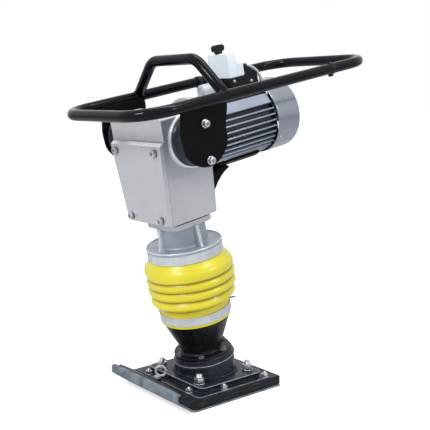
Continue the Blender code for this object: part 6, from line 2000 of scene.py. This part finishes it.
@dataclass
class Studio:
    """Pale floor, white background, soft lamps and the photo's camera."""

    sky: float = 0.62
    sky_color: tuple[float, float, float] = (0.93, 0.96, 1.0)
    floor_color: tuple[float, float, float] = (0.80, 0.80, 0.80)
    floor_glow: float = 0.62
    floor_half: float = 30.0
    azimuth: float = 50.705
    elevation: float = 8.513
    roll: float = -0.2975
    eye: tuple[float, float, float] = (1.63778, -1.29969, 0.78070)
    lens: float = 66.344
    sensor: float = 36.0
    sight: float = 200.0
    lamps: tuple = (
        Lamp("Key", (0.5, -2.2, 1.9), (0, 0, 0.45), (0.70, 0.55), 34.0),
        Lamp("Overhead", (0.3, 0.2, 2.6), (0, 0.1, 0.5), (0.40, 2.2), 27.0),
        Lamp("Side", (2.6, 0.9, 1.7), (0, 0, 0.5), (0.45, 0.55), 14.0, (0.88, 0.94, 1.0)),
    )

    def build(self) -> None:
        """Builds the floor, the light and the camera, and sets the view transform."""
        self.build_floor()
        self.build_world()
        for lamp in self.lamps:
            self.build_lamp(lamp)
        self.build_camera()
        bpy.context.scene.view_settings.view_transform = "Standard"

    def stand(
        self,
        name: str,
        data: bpy.types.Light | bpy.types.Camera,
        place: tuple[float, float, float],
        turn: tuple[np.ndarray, np.ndarray, np.ndarray],
    ) -> bpy.types.Object:
        """Puts a lamp or the camera in the scene.

        Args:
            name: the object's name.
            data: the lamp's or the camera's data.
            place: where it stands.
            turn: the directions of its right, its top and its back.

        Returns:
            The object.
        """
        item = bpy.data.objects.new(name, data)
        turned_to = Matrix(np.column_stack(turn).tolist()).to_4x4()
        item.matrix_world = Matrix.Translation(place) @ turned_to
        bpy.context.scene.collection.objects.link(item)
        return item

    def build_floor(self) -> None:
        """A wide floor that looks white and keeps a faint shadow."""
        half = self.floor_half
        mesh = bpy.data.meshes.new("studio_floor")
        corners = [(-half, -half, 0), (half, -half, 0), (half, half, 0), (-half, half, 0)]
        mesh.from_pydata(corners, [], [(0, 1, 2, 3)])
        floor = bpy.data.objects.new("studio_floor", mesh)
        bpy.context.scene.collection.objects.link(floor)
        material = bpy.data.materials.new("Studio floor")
        material.use_nodes = True
        t = Tree(material.node_tree)
        seen = t.add("ShaderNodeLightPath").outputs["Is Camera Ray"]
        t.fill(t.tree.nodes["Principled BSDF"], {
            "Base Color": (*self.floor_color, 1.0),
            "Roughness": 0.9,
            "Specular IOR Level": 0.0,
            "Emission Color": (1.0, 1.0, 1.0, 1.0),
            "Emission Strength": t.math("MULTIPLY", seen, self.floor_glow),
        })
        mesh.materials.append(material)

    def build_world(self) -> None:
        """Plain white to the camera and in reflections' misses, a softer sky as light."""
        world = bpy.data.worlds.new("Studio")
        bpy.context.scene.world = world
        world.use_nodes = True
        t = Tree(world.node_tree)
        t.tree.nodes.clear()
        path = t.add("ShaderNodeLightPath").outputs
        seen = t.math("ADD", path["Is Camera Ray"], path["Is Glossy Ray"])
        seen = t.math("ADD", seen, path["Is Transmission Ray"])
        sky, white = (
            t.add("ShaderNodeBackground", None, {"Color": (*color, 1.0), "Strength": strength})
            for color, strength in ((self.sky_color, self.sky), ((1.0, 1.0, 1.0), 1.0))
        )
        mixed = {0: seen, 1: sky.outputs[0], 2: white.outputs[0]}
        mixed = t.add("ShaderNodeMixShader", None, mixed).outputs[0]
        t.add("ShaderNodeOutputWorld", None, {"Surface": mixed})

    def build_lamp(self, lamp: Lamp) -> None:
        """Adds one area lamp aimed at its target.

        Args:
            lamp: its place, aim, size, power and colour.
        """
        data = bpy.data.lights.new(lamp.name, "AREA")
        data.shape = "RECTANGLE"
        data.size, data.size_y = lamp.size
        data.energy = lamp.power
        data.color = lamp.color
        aim = np.array(lamp.aim) - np.array(lamp.place)
        back = -aim / np.linalg.norm(aim)
        right = np.cross([0, 0, 1.0], back)
        right = right / np.linalg.norm(right)
        self.stand(lamp.name, data, lamp.place, (right, np.cross(back, right), back))

    def build_camera(self) -> None:
        """The photo's camera: it looks along an azimuth and elevation, with a slight roll."""
        a, e, r = (math.radians(v) for v in (self.azimuth, self.elevation, self.roll))
        ahead = np.array([-math.sin(a) * math.cos(e), math.cos(a) * math.cos(e), -math.sin(e)])
        level = np.array([math.cos(a), math.sin(a), 0])
        up = np.cross(level, ahead)
        right = math.cos(r) * level + math.sin(r) * up
        top = -math.sin(r) * level + math.cos(r) * up
        data = bpy.data.cameras.new("Camera")
        data.lens = self.lens
        data.sensor_width = self.sensor
        data.sensor_fit = "HORIZONTAL"
        data.clip_end = self.sight
        bpy.context.scene.camera = self.stand("Camera", data, self.eye, (right, top, -ahead))


def main() -> None:
    logging.basicConfig(level=logging.INFO, format="%(name)s: %(message)s")
    for part in (
        Shoe(), FootFlange(), SpringLeg(), GuideCasting(), Gearbox(), ElectricMotor(),
        MotorSupport(), SwitchGear(), HandleFrame(),
    ):
        LOG.info("building %s", type(part).__name__)
        part.build()
    Internals().dress()
    Studio().build()


if __name__ == "__main__":
    main()
